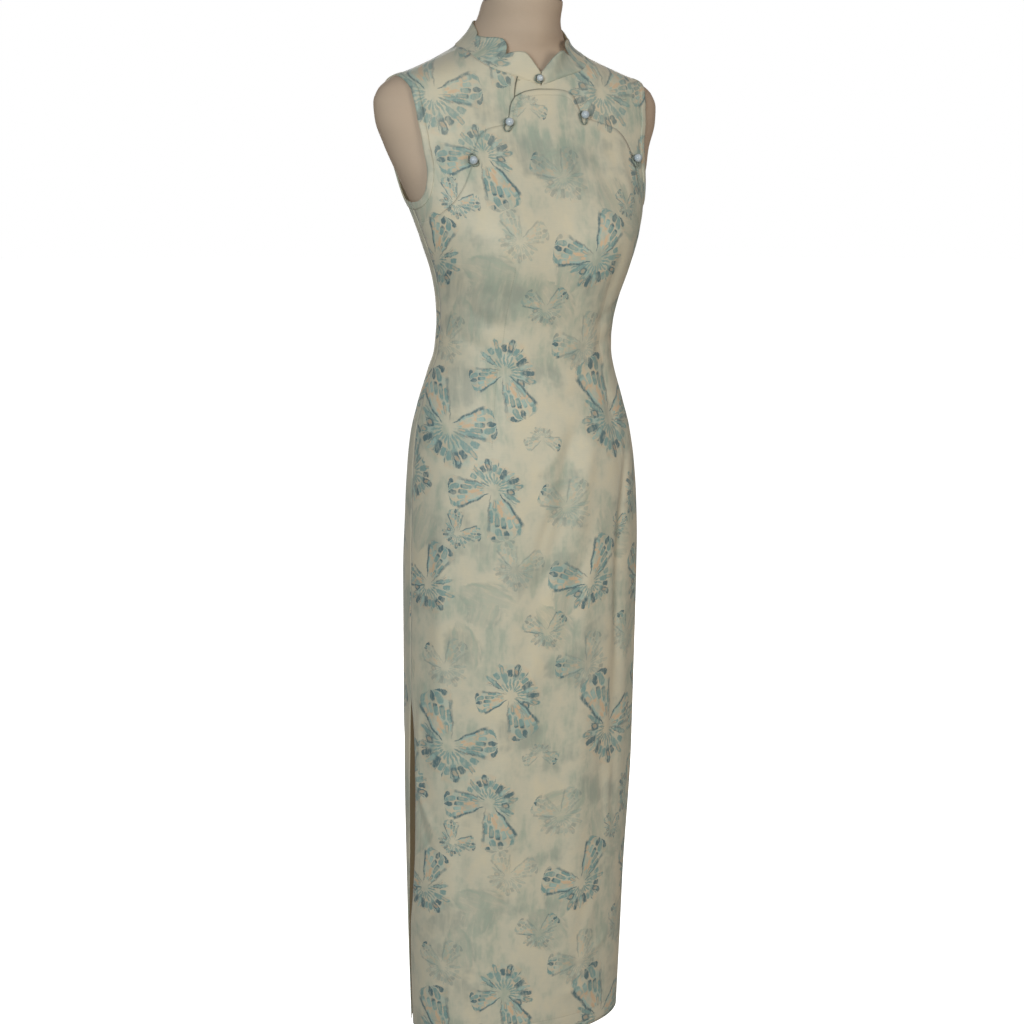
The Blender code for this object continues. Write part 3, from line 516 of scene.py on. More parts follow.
class CheongsamColours(bpy.types.PropertyGroup):
    """Colours of the silk, the print, the pearls, the form and the studio."""

    ground: colour("Silk ground", "Plain colour of the silk", (0.575, 0.552, 0.445))
    warm_wash: colour("Warm wash", "Palest and warmest patches of the silk", (0.670, 0.600, 0.440))
    aqua_wash: colour("Aqua wash", "Soft brushed aqua of the print's ground", (0.350, 0.415, 0.345))
    grey_wash: colour("Grey wash", "Soft grey-green patches of the print's ground", (0.300, 0.330, 0.290))
    teal: colour("Teal", "Outlines of the wings", (0.198, 0.325, 0.322))
    slate: colour("Slate blue", "Darkest strokes at the wing tips", (0.088, 0.163, 0.190))
    aqua: colour("Aqua", "Light strokes inside the wings", (0.320, 0.460, 0.435))
    peach: colour("Peach", "Warm strokes inside the wings", (0.620, 0.450, 0.300))
    wrong_side: colour("Wrong side", "Inner side of the silk", (0.480, 0.400, 0.270))
    # Colour of the sewn lines, and also of the painted thin shadows along finished edges and the painted
    # shade patches on the button loops
    thread_and_shade: colour("Thread and painted shade", "Seams, stitched lines and painted shade", (0.075, 0.085, 0.065))
    pearl: colour("Pearl", "Body of the pearl buttons", (0.400, 0.480, 0.560))
    pearl_glow: colour("Pearl glow", "Paler and warmer swirls in the pearls", (0.560, 0.620, 0.680))
    cord: colour("Loop cord", "Cord of the button loops", (0.230, 0.260, 0.215))
    form: colour("Form cover", "Cover of the dress form", (0.475, 0.380, 0.300))
    form_pale: colour("Pale cover", "Paler patches of the form's cover", (0.600, 0.470, 0.360))
    form_grain: colour("Cover grain", "Dark grain of the form's cover", (0.380, 0.280, 0.200))
    metal: colour("Stand metal", "Neck cap, pole and base", (0.120, 0.105, 0.090))
    metal_rubbed: colour("Rubbed metal", "Paler rubbed patches of the metal", (0.240, 0.220, 0.200))
    dust: colour("Dust", "Dust on the metal", (0.450, 0.430, 0.400))
    floor: colour("Floor", "Floor of the studio", (0.860, 0.860, 0.850))
    floor_shade: colour("Floor shade", "Slightly darker patches of the floor", (0.800, 0.800, 0.790))
    floor_bounce: colour("Floor bounce", "Light that the floor throws back", (0.370, 0.350, 0.310))


def colours():
    return bpy.context.scene.cheongsam_colours


def sizes():
    return bpy.context.scene.cheongsam_sizes


def spline(stations, values, at):
    """A smooth curve through the stations that never overshoots them."""
    stations, values, at = (np.asarray(item, float) for item in (stations, values, at))
    steps = np.diff(stations)
    slopes = np.diff(values) / steps
    tangents = np.concatenate([slopes[:1], np.zeros(len(slopes) - 1), slopes[-1:]])
    for k in range(1, len(slopes)):
        if slopes[k - 1] * slopes[k] > 0:
            before, after = 2 * steps[k] + steps[k - 1], steps[k] + 2 * steps[k - 1]
            tangents[k] = (before + after) / (before / slopes[k - 1] + after / slopes[k])
    i = np.clip(np.searchsorted(stations, at) - 1, 0, len(steps) - 1)
    t = np.clip((at - stations[i]) / steps[i], 0, 1)
    rise = values[i + 1] - values[i]
    eased = values[i] + rise * t * t * (3 - 2 * t)
    return eased + steps[i] * t * (1 - t) * (tangents[i] * (1 - t) - tangents[i + 1] * t)


def ease(low, high, at):
    """A smooth step from 0 at low to 1 at high."""
    t = np.clip((at - low) / (high - low), 0, 1)
    return t * t * (3 - 2 * t)


def split(places):
    """The turns and the heights of places."""
    return places[..., 0], places[..., 1]


def signed(turn):
    """The same turns, between -180 and 180."""
    return (turn + 180) % 360 - 180


def other_side(places):
    """Places mirrored about the back middle."""
    return places * (-1, 1) + (360, 0)


def figure(turn, height):
    """Points of the figure surface."""
    turn, height = np.broadcast_arrays(np.asarray(turn, float), np.asarray(height, float))
    columns = [spline(SECTIONS[:, 0], SECTIONS[:, k], height) for k in range(1, 6)]
    half_width, front, back, centre, squareness = columns
    side, ahead = np.sin(np.radians(turn)), np.cos(np.radians(turn))
    reach = (abs(side) ** squareness + abs(ahead) ** squareness) ** (-1 / squareness)
    x = half_width * side * reach
    y = centre - np.where(ahead > 0, front, back) * ahead * reach
    for bust_x, bust_height, spread, rise in BUST:
        away = ((x - bust_x) ** 2 + (height - bust_height) ** 2) / (2 * spread**2)
        y = y - rise * np.sqrt(np.clip(ahead, 0, 1)) * np.exp(-away)
    return np.stack([x, y, height], -1)


def figure_frame(turn, height):
    """The figure's derivatives along turn and height, and its outward normal."""
    step_turn, step_height = 0.01, 0.0001
    along = (figure(turn + step_turn, height) - figure(turn - step_turn, height)) / (2 * step_turn)
    up = (figure(turn, height + step_height) - figure(turn, height - step_height)) / (2 * step_height)
    normal = np.cross(along, up)
    return along, up, normal / np.linalg.norm(normal, axis=-1, keepdims=True)


def figure_radius(height):
    """About how far the figure's front half lies from its middle, by which turns become lengths."""
    return spline(SECTIONS[:, 0], (SECTIONS[:, 1] + SECTIONS[:, 2]) / 2, height)


def fold_rise(turn, height):
    """How far the folds lift or sink the cloth."""
    total = np.zeros(np.broadcast(turn, height).shape)
    radius = figure_radius(height)
    for top_turn, top, foot_turn, foot, half_width, rise in FOLDS:
        down = (top - height) / (top - foot)
        line = top_turn + (foot_turn - top_turn) * down
        across = np.radians(signed(turn - line)) * radius
        ends = ease(*FOLD_TOP, down) * ease(*FOLD_FOOT, 1 - down)
        total = total + rise * ends * np.exp(-((across / half_width) ** 2))
    return total


def crease_rise(turn, height):
    """How far the smaller creases, each bent a little, lift or sink the silk."""
    turn, height = np.broadcast_arrays(turn, height)
    total = np.zeros(turn.shape)
    radius = figure_radius(height)
    for start_turn, start, end_turn, end, half_width, rise in CREASES:
        flat_x = np.radians(signed(turn - (start_turn + end_turn) / 2)) * radius
        run_x = math.radians(end_turn - start_turn) * figure_radius((start + end) / 2)
        run_y = end - start
        reach = math.hypot(run_x, run_y)
        x, y = flat_x + run_x / 2, height - start
        along = (x * run_x + y * run_y) / reach**2
        across = (x * run_y - y * run_x) / reach
        bend = CREASE_BEND * reach * np.sin(np.clip(along, 0, 1) * math.pi)
        ends = ease(*CREASE_START, along) * ease(*CREASE_FINISH, 1 - along)
        total += rise * ends * np.exp(-(((across - bend) / half_width) ** 2))
    return total


def laid(turn, height, out, folded=True):
    """Points moved out from the figure, following the folds of the cloth where it is folded."""
    lift = out + (fold_rise(turn, height) if folded else 0)
    return figure(turn, height) + figure_frame(turn, height)[2] * np.asarray(lift)[..., None]


def silk_surface(places, out):
    """Points of the silk's outer face, with the large folds deepened and the small creases."""
    turn, height = split(places)
    depth = sizes().crease_depth
    smooth = 1 - ease(*CREASE_END, height)
    sharper = (depth - 1) * fold_rise(turn, height)
    return laid(turn, height, out + crease_rise(turn, height) * depth * smooth + sharper)


def settle(points, turn, height, passes):
    """Turn and height of the figure's places nearest to the points, from a first guess."""
    for _ in range(passes):
        along, up, _ = figure_frame(turn, height)
        miss = points - figure(turn, height)
        aa, ab, bb = (along * along).sum(-1), (along * up).sum(-1), (up * up).sum(-1)
        ma, mb = (miss * along).sum(-1), (miss * up).sum(-1)
        det = aa * bb - ab * ab
        rise = np.clip((aa * mb - ab * ma) / det, -LONGEST_RISE, LONGEST_RISE)
        turn = turn + np.clip((bb * ma - ab * mb) / det, -LONGEST_TURN, LONGEST_TURN)
        height = np.clip(height + rise, HEM, FIGURE_TOP)
    return turn, height


def spaced(points, count):
    """Places on a smooth curve through the given places, spaced evenly along the cloth."""
    points = np.asarray(points, float)
    span = np.linspace(0, 1, len(points))
    fine = np.linspace(0, 1, CURVE_STEPS * len(points))
    places = np.stack([spline(span, points[:, k], fine) for k in (0, 1)], -1)
    solid = figure(*split(places))
    run = np.concatenate([[0], np.cumsum(np.linalg.norm(np.diff(solid, axis=0), axis=1))])
    at = np.linspace(0, run[-1], count + 1)
    return np.stack([np.interp(at, run, places[:, k]) for k in (0, 1)], -1)


def joined_arcs(arcs, times=1):
    """Places along arcs that meet end to end, each divided into its columns or into finer ones."""
    lines = [spaced(points, count * times) for count, points in arcs]
    return np.concatenate([lines[0]] + [line[1:] for line in lines[1:]])


def beside(edge, distance):
    """Places inside an edge, at a distance along the cloth to the left of its direction."""
    solid = figure(*split(edge))
    normal = figure_frame(*split(edge))[2]
    steps = np.diff(solid, axis=0)
    steps /= np.linalg.norm(steps, axis=1, keepdims=True)
    ahead = np.concatenate([steps[:1], steps[:-1] + steps[1:], steps[-1:]])
    inward = np.cross(normal, ahead)
    inward /= np.linalg.norm(inward, axis=1, keepdims=True)
    return np.stack(settle(solid + inward * distance, *split(edge), 12), -1)


def steps_between(start, end, count):
    """Rows from one to another in even steps, both included."""
    return start + (end - start) * np.arange(count + 1)[:, None, None] / count


def divided(values, axis):
    """Values divided FINER times along an axis, on a smooth curve through them."""
    values = np.moveaxis(np.asarray(values, float), axis, 0)
    ends = np.concatenate([2 * values[:1] - values[1:2], values, 2 * values[-1:] - values[-2:-1]])
    p0, p1, p2, p3 = ends[:-3], ends[1:-2], ends[2:-1], ends[3:]
    rows = []
    for step in range(FINER):
        t = step / FINER
        curve = 2 * p1 + (p2 - p0) * t + (2 * p0 - 5 * p1 + 4 * p2 - p3) * t**2
        rows.append((curve + (3 * p1 - p0 - 3 * p2 + p3) * t**3) / 2)
    fine = np.stack(rows, 1).reshape((-1,) + values.shape[1:])
    return np.moveaxis(np.concatenate([fine, values[-1:]]), 0, axis)


def straight_steps(values, times):
    """Values divided a number of times along straight steps."""
    at = np.linspace(0, len(values) - 1, (len(values) - 1) * times + 1)
    return np.interp(at, np.arange(len(values)), values)


def row_heights(stops):
    """Heights of cross rows close together, through each of the stops."""
    counts = [max(1, round((b - a) / ROW_STEP)) for a, b in zip(stops, stops[1:])]
    fine = [np.linspace(a, b, count + 1)[:-1] for a, b, count in zip(stops, stops[1:], counts)]
    return np.concatenate(fine + [stops[-1:]])[:, None]


def coarse_patch(bottom, top, left, right):
    """A patch of places between four edges, evened out over the cloth by Winslow's equations."""
    u = np.linspace(0, 1, len(bottom))[None, :, None]
    v = np.linspace(0, 1, len(left))[:, None, None]
    left_bend, right_bend = (edge[:, None] - (1 - v) * edge[0] - v * edge[-1] for edge in (left, right))
    patch = (1 - v) * bottom + v * top + left_bend * (1 - u) + right_bend * u
    for _ in range(EVENING_PASSES):
        solid = figure(*split(patch))
        across = (solid[1:-1, 2:] - solid[1:-1, :-2]) / 2
        up = (solid[2:, 1:-1] - solid[:-2, 1:-1]) / 2
        alpha, gamma = ((item * item).sum(-1, keepdims=True) for item in (up, across))
        beta = (across * up).sum(-1, keepdims=True)
        twist = solid[2:, 2:] - solid[2:, :-2] - solid[:-2, 2:] + solid[:-2, :-2]
        middle = alpha * (solid[1:-1, 2:] + solid[1:-1, :-2]) - beta * twist / 2
        middle = (middle + gamma * (solid[2:, 1:-1] + solid[:-2, 1:-1])) / (2 * (alpha + gamma))
        patch[1:-1, 1:-1] = np.stack(settle(middle, *split(patch[1:-1, 1:-1]), 2), -1)
    return patch


def finer_patch(patch, bottom, top, left, right):
    """A patch of places divided finely, drawn to its exact edges near them."""
    fine = divided(divided(patch, 0), 1)
    v = np.linspace(0, 1, len(fine))[:, None, None]
    u = np.linspace(0, 1, fine.shape[1])[None, :, None]
    across = (bottom - fine[0])[None] * (1 - v) ** EDGE_PULL + (top - fine[-1])[None] * v**EDGE_PULL
    left_pull = (left - fine[:, 0])[:, None] * (1 - u) ** EDGE_PULL
    right_pull = (right - fine[:, -1])[:, None] * u**EDGE_PULL
    return fine + across + left_pull + right_pull


def neckline(turn):
    """Height of the neckline at a turn."""
    return np.interp(abs(signed(np.asarray(turn, float))), NECKLINE[:, 0], NECKLINE[:, 1])


def armhole(points, side, steps):
    """Places along one edge of an armhole, from the underarm to the shoulder tip."""
    return spaced(np.asarray(points, float) * (side, 1), steps)


def off_seams(places):
    """Places within the shoulder and side seams moved off them by half the clearance."""
    places = places.copy()
    depth = spline(SECTIONS[:, 0], SECTIONS[:, 2], places[..., 1])
    half = np.degrees(SEAM_SHARE * GAP / depth)
    behind = np.nanmean(places[..., 0]) > 120
    for seam in (-90, 90, 270):
        on_seam = abs(places[..., 0] - seam) < half
        away = 1 if (seam == 90) == behind else -1
        places[..., 0] = np.where(on_seam, seam + away * half, places[..., 0])
    return places


def underlap_edge(edge):
    """Where the yokes end, below the placket's edge, along the same columns."""
    drop = beside(edge, -UNDERLAP)
    drop[:, 0] = 0.6 * drop[:, 0] + 0.4 * edge[:, 0]
    drop[[0, -1], 0] = edge[[0, -1], 0]
    drop[[0, -1], 1] = PLACKET_SIDE - UNDERLAP
    for _ in range(3):
        drop[1:-1] = 0.25 * drop[:-2] + 0.5 * drop[1:-1] + 0.25 * drop[2:]
        drop[1:-1, 1] = np.minimum(drop[1:-1, 1], edge[1:-1, 1] - 0.8 * UNDERLAP)
    return drop


def placket():
    """The placket's edge, the yokes' hidden edge below it, and how much of both is the right yoke's."""
    lap = divided(underlap_edge(joined_arcs(PLACKET_ARCS)), 0)
    right_columns = sum(count for count, _ in PLACKET_ARCS[:RIGHT_ARCS])
    return joined_arcs(PLACKET_ARCS, FINER), lap, right_columns * FINER + 1


def side_turns(height, front):
    """Turns of a panel's right and left edges at a height, open along the slits."""
    right, left = (1, 3) if front else (2, 4)
    turns = [spline(SLIT[:, 0], SLIT[:, k], np.minimum(height, SLIT_TOP)) for k in (right, left)]
    return turns if front else [turns[1], turns[0] + 360]


def front_places(edge, lap):
    """Places of the front panel from the hem up, and how far each is lifted over the yokes."""
    height = row_heights(SKIRT_ROWS + WAIST_ROWS)
    right, left = side_turns(height, True)
    even = right + (left - right) * np.linspace(0, 1, len(edge))
    gathered = edge[:, 0] * (left - right) / 180 + (left + right) / 2
    turn = even + (gathered - even) * (GATHER * ease(*GATHER_HEIGHTS, height))
    level = np.stack(np.broadcast_arrays(turn, height), -1)
    chest = steps_between(level[-1], lap, (CHEST_ROWS + 1) * FINER)[1:]
    rows = np.concatenate([level, chest, steps_between(lap, edge, FINER)[1:]])
    below = np.arange(len(rows))[::-1, None]
    lift = np.clip((2 * FINER - below) / FINER, 0, 1) * LAP_LIFT
    return off_seams(rows), lift * np.interp(edge[:, 0], LAP_TURNS, LAP_SHARES)


def upper_places(foot, points, side, neck_turns, whole):
    """Places from a lower row up to an armhole, the shoulder seam and the neckline.

    They are evened out coarsely first and then divided. The first columns end below the armhole, which
    turns up beside the rows at its knee. A whole panel has the same again on its other side; a yoke
    ends at a straight front edge.
    """
    for times in (1, FINER):
        knee, line = KNEE * times, foot[:: FINER // times]
        hole = armhole(points, side, ARMHOLE_STEPS * times)
        share = np.linspace(0, 1, KNEE_ROWS * times + 1)[:, None]
        near = np.concatenate([line[knee] + (hole[knee] - line[knee]) * share, hole[knee + 1 :]])
        seam = [(side * 90, height) for height in (SHOULDER_TIP, SHOULDER_BEND, neckline(90))]
        neck = straight_steps([side * 90, *neck_turns], times)[1:]
        neck = np.stack([neck, neckline(neck)], -1)
        top = np.concatenate([spaced(seam, SHOULDER_COLUMNS * times), neck])
        if whole:
            edges = (line[knee:-knee], np.concatenate([top, other_side(top[-2::-1])]), near, other_side(near))
        else:
            far = line[-1] + (top[-1] - line[-1]) * np.linspace(0, 1, len(near))[:, None]
            edges = (line[knee:], top, near, far)
        patch = coarse_patch(*edges) if times == 1 else finer_patch(patch, *edges)
    places = np.full((len(patch), len(foot), 2), np.nan)
    places[:, knee : knee + patch.shape[1]] = patch
    places[: len(share), :knee] = foot[:knee] + (hole[:knee] - foot[:knee]) * share[..., None]
    if whole:
        places[:, -knee:] = other_side(places[:, knee - 1 :: -1])
    return places


def back_places():
    """Places of the back panel, row by row from the hem to the armholes, shoulders and neckline."""
    neck_turns = NECKLINE[NECKLINE[:, 0] > 90, 0]
    height = row_heights(SKIRT_ROWS + WAIST_ROWS + SIDE_ROWS)
    left, right = side_turns(height, False)
    columns = 2 * (KNEE + SHOULDER_COLUMNS + len(neck_turns)) * FINER
    turn = left + (right - left) * np.linspace(0, 1, columns + 1)
    rows = np.stack(np.broadcast_arrays(turn, height), -1)
    upper = upper_places(rows[-1], ARMHOLE_BACK, 1, neck_turns, True)
    return off_seams(np.concatenate([rows[:-1], upper]))


def yoke_places(edge, lap, side):
    """Places of one yoke from its hidden lower edge to its armhole, shoulder and neckline."""
    stops = np.concatenate([-NECKLINE[::-1, 0], NECKLINE[1:, 0]])
    between = stops[(stops - side * 90) * (stops - YOKE_EDGE_TOP) < 0]
    neck_turns = np.append(between[::-side], YOKE_EDGE_TOP)
    foot, drop = edge[::-side], lap[::-side]
    upper = upper_places(foot, ARMHOLE_FRONT, side, neck_turns, False)
    return np.concatenate([steps_between(drop, foot, FINER)[:-1], upper])[:, ::-side]


def with_flap(places):
    """The left yoke's places with the flap that runs on under the right yoke, and how far they are sunk."""
    steps = np.linspace(1, 0, 2 * FINER + 1)
    flap = places[:, :1] - np.stack([steps[:-1] * FLAP_REACH, np.zeros(2 * FINER)], -1)
    flap[..., 1] = np.minimum(flap[..., 1], neckline(flap[..., 0]))
    flap[-1, :, 1] = neckline(flap[-1, :, 0])
    whole = np.concatenate([flap, places], 1)
    sunk = np.zeros(whole.shape[:2])
    sunk[:, : len(steps)] = -FLAP_DEPTH
    sunk[:, 2 * FINER : 4 * FINER + 1] = -FLAP_DEPTH * steps**FLAP_POWER
    return whole, sunk


def binding_places(side):
    """The ring of places round one armhole: its edge and the line a binding's width inside it."""
    front, behind = (armhole(edge, side, 2 * ARMHOLE_STEPS) for edge in (ARMHOLE_FRONT, ARMHOLE_BACK))
    edge = np.concatenate([front, behind[-2:0:-1]])
    around = np.concatenate([edge[-1:], edge, edge[:1]])
    inside = beside(around, side * BINDING_WIDTH)[1:-1]
    inside[0] = (side * 90, UNDERARM - BINDING_WIDTH)
    ring = np.stack([edge, inside][::-side], 1)
    return np.concatenate([ring, ring[:1]])


def form_skin(turn, height):
    """Distance of the form's skin inside the figure surface."""
    plain = spline(FORM_INSET[:, 0], FORM_INSET[:, 1], height)
    broad = ease(*BROAD_SIDE, abs(np.sin(np.radians(turn)))) * ease(*BROAD_FOOT, height)
    broad = broad * (1 - ease(*BROAD_TOP, height))
    return plain + (SHOULDER_INSET - plain) * broad


# Flat lengths along each level of the figure, from the front middle, with a column for each degree
FLAT_TURNS = np.linspace(-200, 400, 601)
FLAT_HEIGHTS = np.linspace(0.11, 1.50, 140)


def flat_table():
    points = figure(FLAT_TURNS[None, :], FLAT_HEIGHTS[:, None])
    steps = np.linalg.norm(np.diff(points, axis=1), axis=-1)
    lengths = np.concatenate([np.zeros((len(points), 1)), np.cumsum(steps, axis=1)], 1)
    return lengths - lengths[:, FLAT_TURNS == 0]


FLAT_LENGTHS = flat_table()


def flat_across(turn, height):
    """Length along the cloth from the front middle, at one height."""
    row = (height - FLAT_HEIGHTS[0]) / (FLAT_HEIGHTS[1] - FLAT_HEIGHTS[0])
    row = np.clip(row, 0, len(FLAT_HEIGHTS) - 1.001)
    column = np.clip(turn - FLAT_TURNS[0], 0, len(FLAT_TURNS) - 1.001)
    i, j = row.astype(int), column.astype(int)
    a, b = row - i, column - j
    low, high = (FLAT_LENGTHS[k, j] * (1 - b) + FLAT_LENGTHS[k, j + 1] * b for k in (i, i + 1))
    return low * (1 - a) + high * a


def flat_places(places, middle, shift=(0, 0)):
    """Where the places lie on the flat printed cloth, across from a panel's middle line and up."""
    turn, height = split(np.nan_to_num(places))
    across = flat_across(turn, height) - flat_across(np.full_like(turn, middle), height)
    return np.stack([across + shift[0], height + shift[1]], -1)


def mesh_of(name, shape):
    """A mesh made of a bmesh, which is freed."""
    mesh = bpy.data.meshes.new(name)
    shape.to_mesh(mesh)
    shape.free()
    return mesh


def grid_mesh(name, points):
    """A mesh of square faces on a grid of points, where each vertex keeps its point's number."""
    rows, columns = points.shape[:2]
    grid = bmesh.new()
    bmesh.ops.create_grid(grid, x_segments=columns - 1, y_segments=rows - 1, size=1)
    number = grid.verts.layers.int.new("number")
    absent = []
    for vertex in grid.verts:
        column = round((vertex.co.x + 1) / 2 * (columns - 1))
        row = round((vertex.co.y + 1) / 2 * (rows - 1))
        vertex[number] = row * columns + column
        if np.isnan(points[row, column, 0]):
            absent.append(vertex)
        else:
            vertex.co = points[row, column]
    bmesh.ops.delete(grid, geom=absent, context="VERTS")
    return mesh_of(name, grid)


def closed(shape):
    """A bmesh with its joined ends merged, its open rims filled and its faces turned outwards."""
    bmesh.ops.remove_doubles(shape, verts=shape.verts, dist=MERGE_DISTANCE)
    rim = [edge for edge in shape.edges if edge.is_boundary]
    if rim:
        bmesh.ops.holes_fill(shape, edges=rim, sides=0)
    bmesh.ops.recalc_face_normals(shape, faces=shape.faces)
    return shape


def close_grid(mesh):
    """A mesh made on a grid, once its shape is closed."""
    shape = bmesh.new()
    shape.from_mesh(mesh)
    closed(shape).to_mesh(mesh)
    shape.free()
    return mesh


def spun(name, profile, steps):
    """A turned shape: a line of radii and heights spun once round the middle."""
    shape = bmesh.new()
    line = [shape.verts.new((radius, 0, height)) for radius, height in profile]
    edges = [shape.edges.new(pair) for pair in zip(line, line[1:])]
    turn = {"cent": (0, 0, 0), "axis": (0, 0, 1), "angle": 2 * math.pi, "steps": steps}
    bmesh.ops.spin(shape, geom=line + edges, use_merge=True, **turn)
    return mesh_of(name, closed(shape))


def corner_numbers(mesh):
    """The grid number of each face corner's vertex."""
    numbers = np.empty(len(mesh.vertices), np.int32)
    mesh.attributes["number"].data.foreach_get("value", numbers)
    vertices = np.empty(len(mesh.loops), np.int32)
    mesh.loops.foreach_get("vertex_index", vertices)
    return numbers[vertices]


def write_uv(mesh, name, values):
    """Writes a map of two numbers for each face corner."""
    layer = mesh.uv_layers.new(name=name, do_init=False)
    layer.uv.foreach_set("vector", np.asarray(values, np.float32).reshape(-1))


def nearest_frames(flat, items, reach):
    """Each face's corners in the frame of the motif nearest to it; a motif is across, up, angle, length."""
    angle, span = np.radians(items[:, 2]), items[:, 3]
    ahead = np.stack([np.cos(angle), np.sin(angle)], -1)
    middle = items[:, :2] + ahead * (reach * span)[:, None]
    away = np.linalg.norm(flat.mean(1)[:, None] - middle[None], axis=-1) / span[None]
    item = away.argmin(1)
    offset = flat - items[item, None, :2]
    a, unit = ahead[item][:, None], span[item][:, None]
    x = (offset * a).sum(-1) / unit
    y = (offset[..., 1] * a[..., 0] - offset[..., 0] * a[..., 1]) / unit
    return np.stack([x, y], -1), item


def repeated(rows):
    """The items of one repeat, laid again and again up the cloth."""
    rows = np.asarray(rows, float)
    return np.concatenate([rows + np.eye(rows.shape[1])[1] * REPEAT * k for k in range(-2, 4)])


def lay_print(mesh, flat):
    """Writes the cloth map and the frames of the print's wings, fans and faint wings."""
    corners = flat.reshape(-1, 2)[corner_numbers(mesh)]
    write_uv(mesh, "cloth", corners)
    faces = corners.reshape(-1, 4, 2).copy()
    faces[..., 0] -= np.round(faces[..., 0].mean(1) / PRINT_WIDTH)[:, None] * PRINT_WIDTH
    flies = repeated(BUTTERFLIES)
    nearest = {}
    for name, columns, reach in PRINT_FRAMES:
        frames, nearest[name] = nearest_frames(faces, flies[:, columns], reach)
        write_uv(mesh, name, frames)
    write_uv(mesh, "faint_wing", nearest_frames(faces, repeated(GHOSTS), 0.5)[0])
    strength = flies[np.stack([nearest["wing_a"], nearest["fan"]], -1), 8]
    write_uv(mesh, "strength", np.repeat(strength[:, None], 4, axis=1))


def lay_seams(mesh, lines):
    """Writes for each face the nearest seam: length along it and distance from it, in metres."""
    stacked = np.stack([np.stack(pair, -1) for pair in lines]).reshape(len(lines), -1, 2)
    corners = stacked[:, corner_numbers(mesh)].reshape(len(lines), -1, 4, 2)
    near = abs(corners[..., 1].mean(-1)).argmin(0)
    write_uv(mesh, "seam", corners[near, np.arange(len(near))])


def lay_edge(mesh, distance, shadow_strength):
    """Writes the distance from a finished edge that casts a thin shadow, and how strong that is."""
    values = np.stack([distance, np.broadcast_to(shadow_strength, distance.shape)], -1)
    write_uv(mesh, "edge", values.reshape(-1, 2)[corner_numbers(mesh)])


def dart_line(flat, middle, points, shift=(0, 0)):
    """Length along a dart and distance from it, for each place on the flat cloth."""
    best = np.full(flat.shape[:-1], FAR)
    along = np.zeros(flat.shape[:-1])
    stops = flat_places(np.asarray(points, float)[None], middle, shift)[0]
    run = 0.0
    for start, end in zip(stops, stops[1:]):
        step = end - start
        reach = np.linalg.norm(step)
        offset = flat - start
        share = (offset @ step) / reach**2
        side = (offset[..., 0] * step[1] - offset[..., 1] * step[0]) / reach
        past = np.clip(abs(share - 0.5) - 0.5, 0, None) * reach
        distance = np.where(side < 0, -1, 1) * np.hypot(side, past)
        closer = abs(distance) < abs(best)
        best = np.where(closer, distance, best)
        along = np.where(closer, np.where(past > DART_END, NO_STITCH, run + share * reach), along)
        run += reach
    return along, best


def panel_seams(places, up, across):
    """The stitched lines of a long panel: along both slits and the hem."""
    sewn = np.where(places[..., 1] < SLIT_TOP, up, NO_STITCH)
    slits = [(sewn, across - SLIT_INSET), (sewn, across[:, -1:] - across - SLIT_INSET)]
    return slits + [(across, up - HEM_INSET)]


def run_lengths(points, axis):
    """Length along the grid from its start, along one axis; absent steps count for nothing."""
    steps = np.nan_to_num(np.linalg.norm(np.diff(points, axis=axis), axis=-1))
    zero = np.zeros_like(np.take(steps, [0], axis=axis))
    return np.concatenate([zero, np.cumsum(steps, axis=axis)], axis=axis)


def add_piece(name, mesh, materials, nodes):
    """An object of the mesh, which rides on the one body and stands for CAD nodes."""
    if "number" in mesh.attributes:
        mesh.attributes.remove(mesh.attributes["number"])
    for material in materials:
        mesh.materials.append(material)
    mesh.shade_smooth()
    piece = bpy.data.objects.new(name, mesh)
    bpy.context.scene.collection.objects.link(piece)
    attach(piece, "root")
    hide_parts(*nodes)
    return piece


def rigid_piece(name, mesh, material, node, sharp=180):
    """A rigid piece, with hard edges where its faces meet at more than the sharp angle."""
    piece = add_piece(name, mesh, [material], [node])
    mesh.set_sharp_from_angle(angle=math.radians(sharp))
    return piece


def silk_piece(name, node, points, flat, seams, edge, thickness, lined=True):
    """A piece of silk: its outer face with the maps of print, seams and the painted edge shadow, and a
    modifier for its wall.
    """
    mesh = grid_mesh(name, points)
    lay_print(mesh, flat)
    lay_seams(mesh, seams)
    lay_edge(mesh, *edge)
    materials = [printed_silk(), wrong_side()] if lined else [printed_silk()]
    piece = add_piece(name, mesh, materials, [node])
    wall = piece.modifiers.new("wall", "SOLIDIFY")
    wall.thickness, wall.offset, wall.use_quality_normals = thickness, -1, True
    wall.material_offset, wall.material_offset_rim = len(materials) - 1, 0
    return piece


def join(operation):
    """A method that joins a signal with another one, or with a number, in a Math node."""
    return lambda self, other=0.0: self.web.maths(operation, self, other)


class Signal:
    """The value of a node's socket, which arithmetic carries on into further nodes."""

    def __init__(self, web, socket):
        self.web, self.socket = web, socket

    __add__ = __radd__ = join("ADD")
    __mul__ = __rmul__ = join("MULTIPLY")
    __sub__, __truediv__, __pow__ = join("SUBTRACT"), join("DIVIDE"), join("POWER")
    __abs__, floor, fract = join("ABSOLUTE"), join("FLOOR"), join("FRACT")
    sine, root = join("SINE"), join("SQRT")
    most, least = join("MAXIMUM"), join("MINIMUM")

    def __rsub__(self, other):
        return self.web.maths("SUBTRACT", other, self)

    def __rtruediv__(self, other):
        return self.web.maths("DIVIDE", other, self)

    def step(self, low, high, start=0.0, end=1.0):
        """A smooth step of the value from low to high."""
        feeds = {"Value": self, "From Min": low, "From Max": high, "To Min": start, "To Max": end}
        return self.web.made("ShaderNodeMapRange", feeds, interpolation_type="SMOOTHSTEP")

    def fall(self, low, high):
        """A smooth step down from 1 at low to 0 at high."""
        return self.step(low, high, 1.0, 0.0)


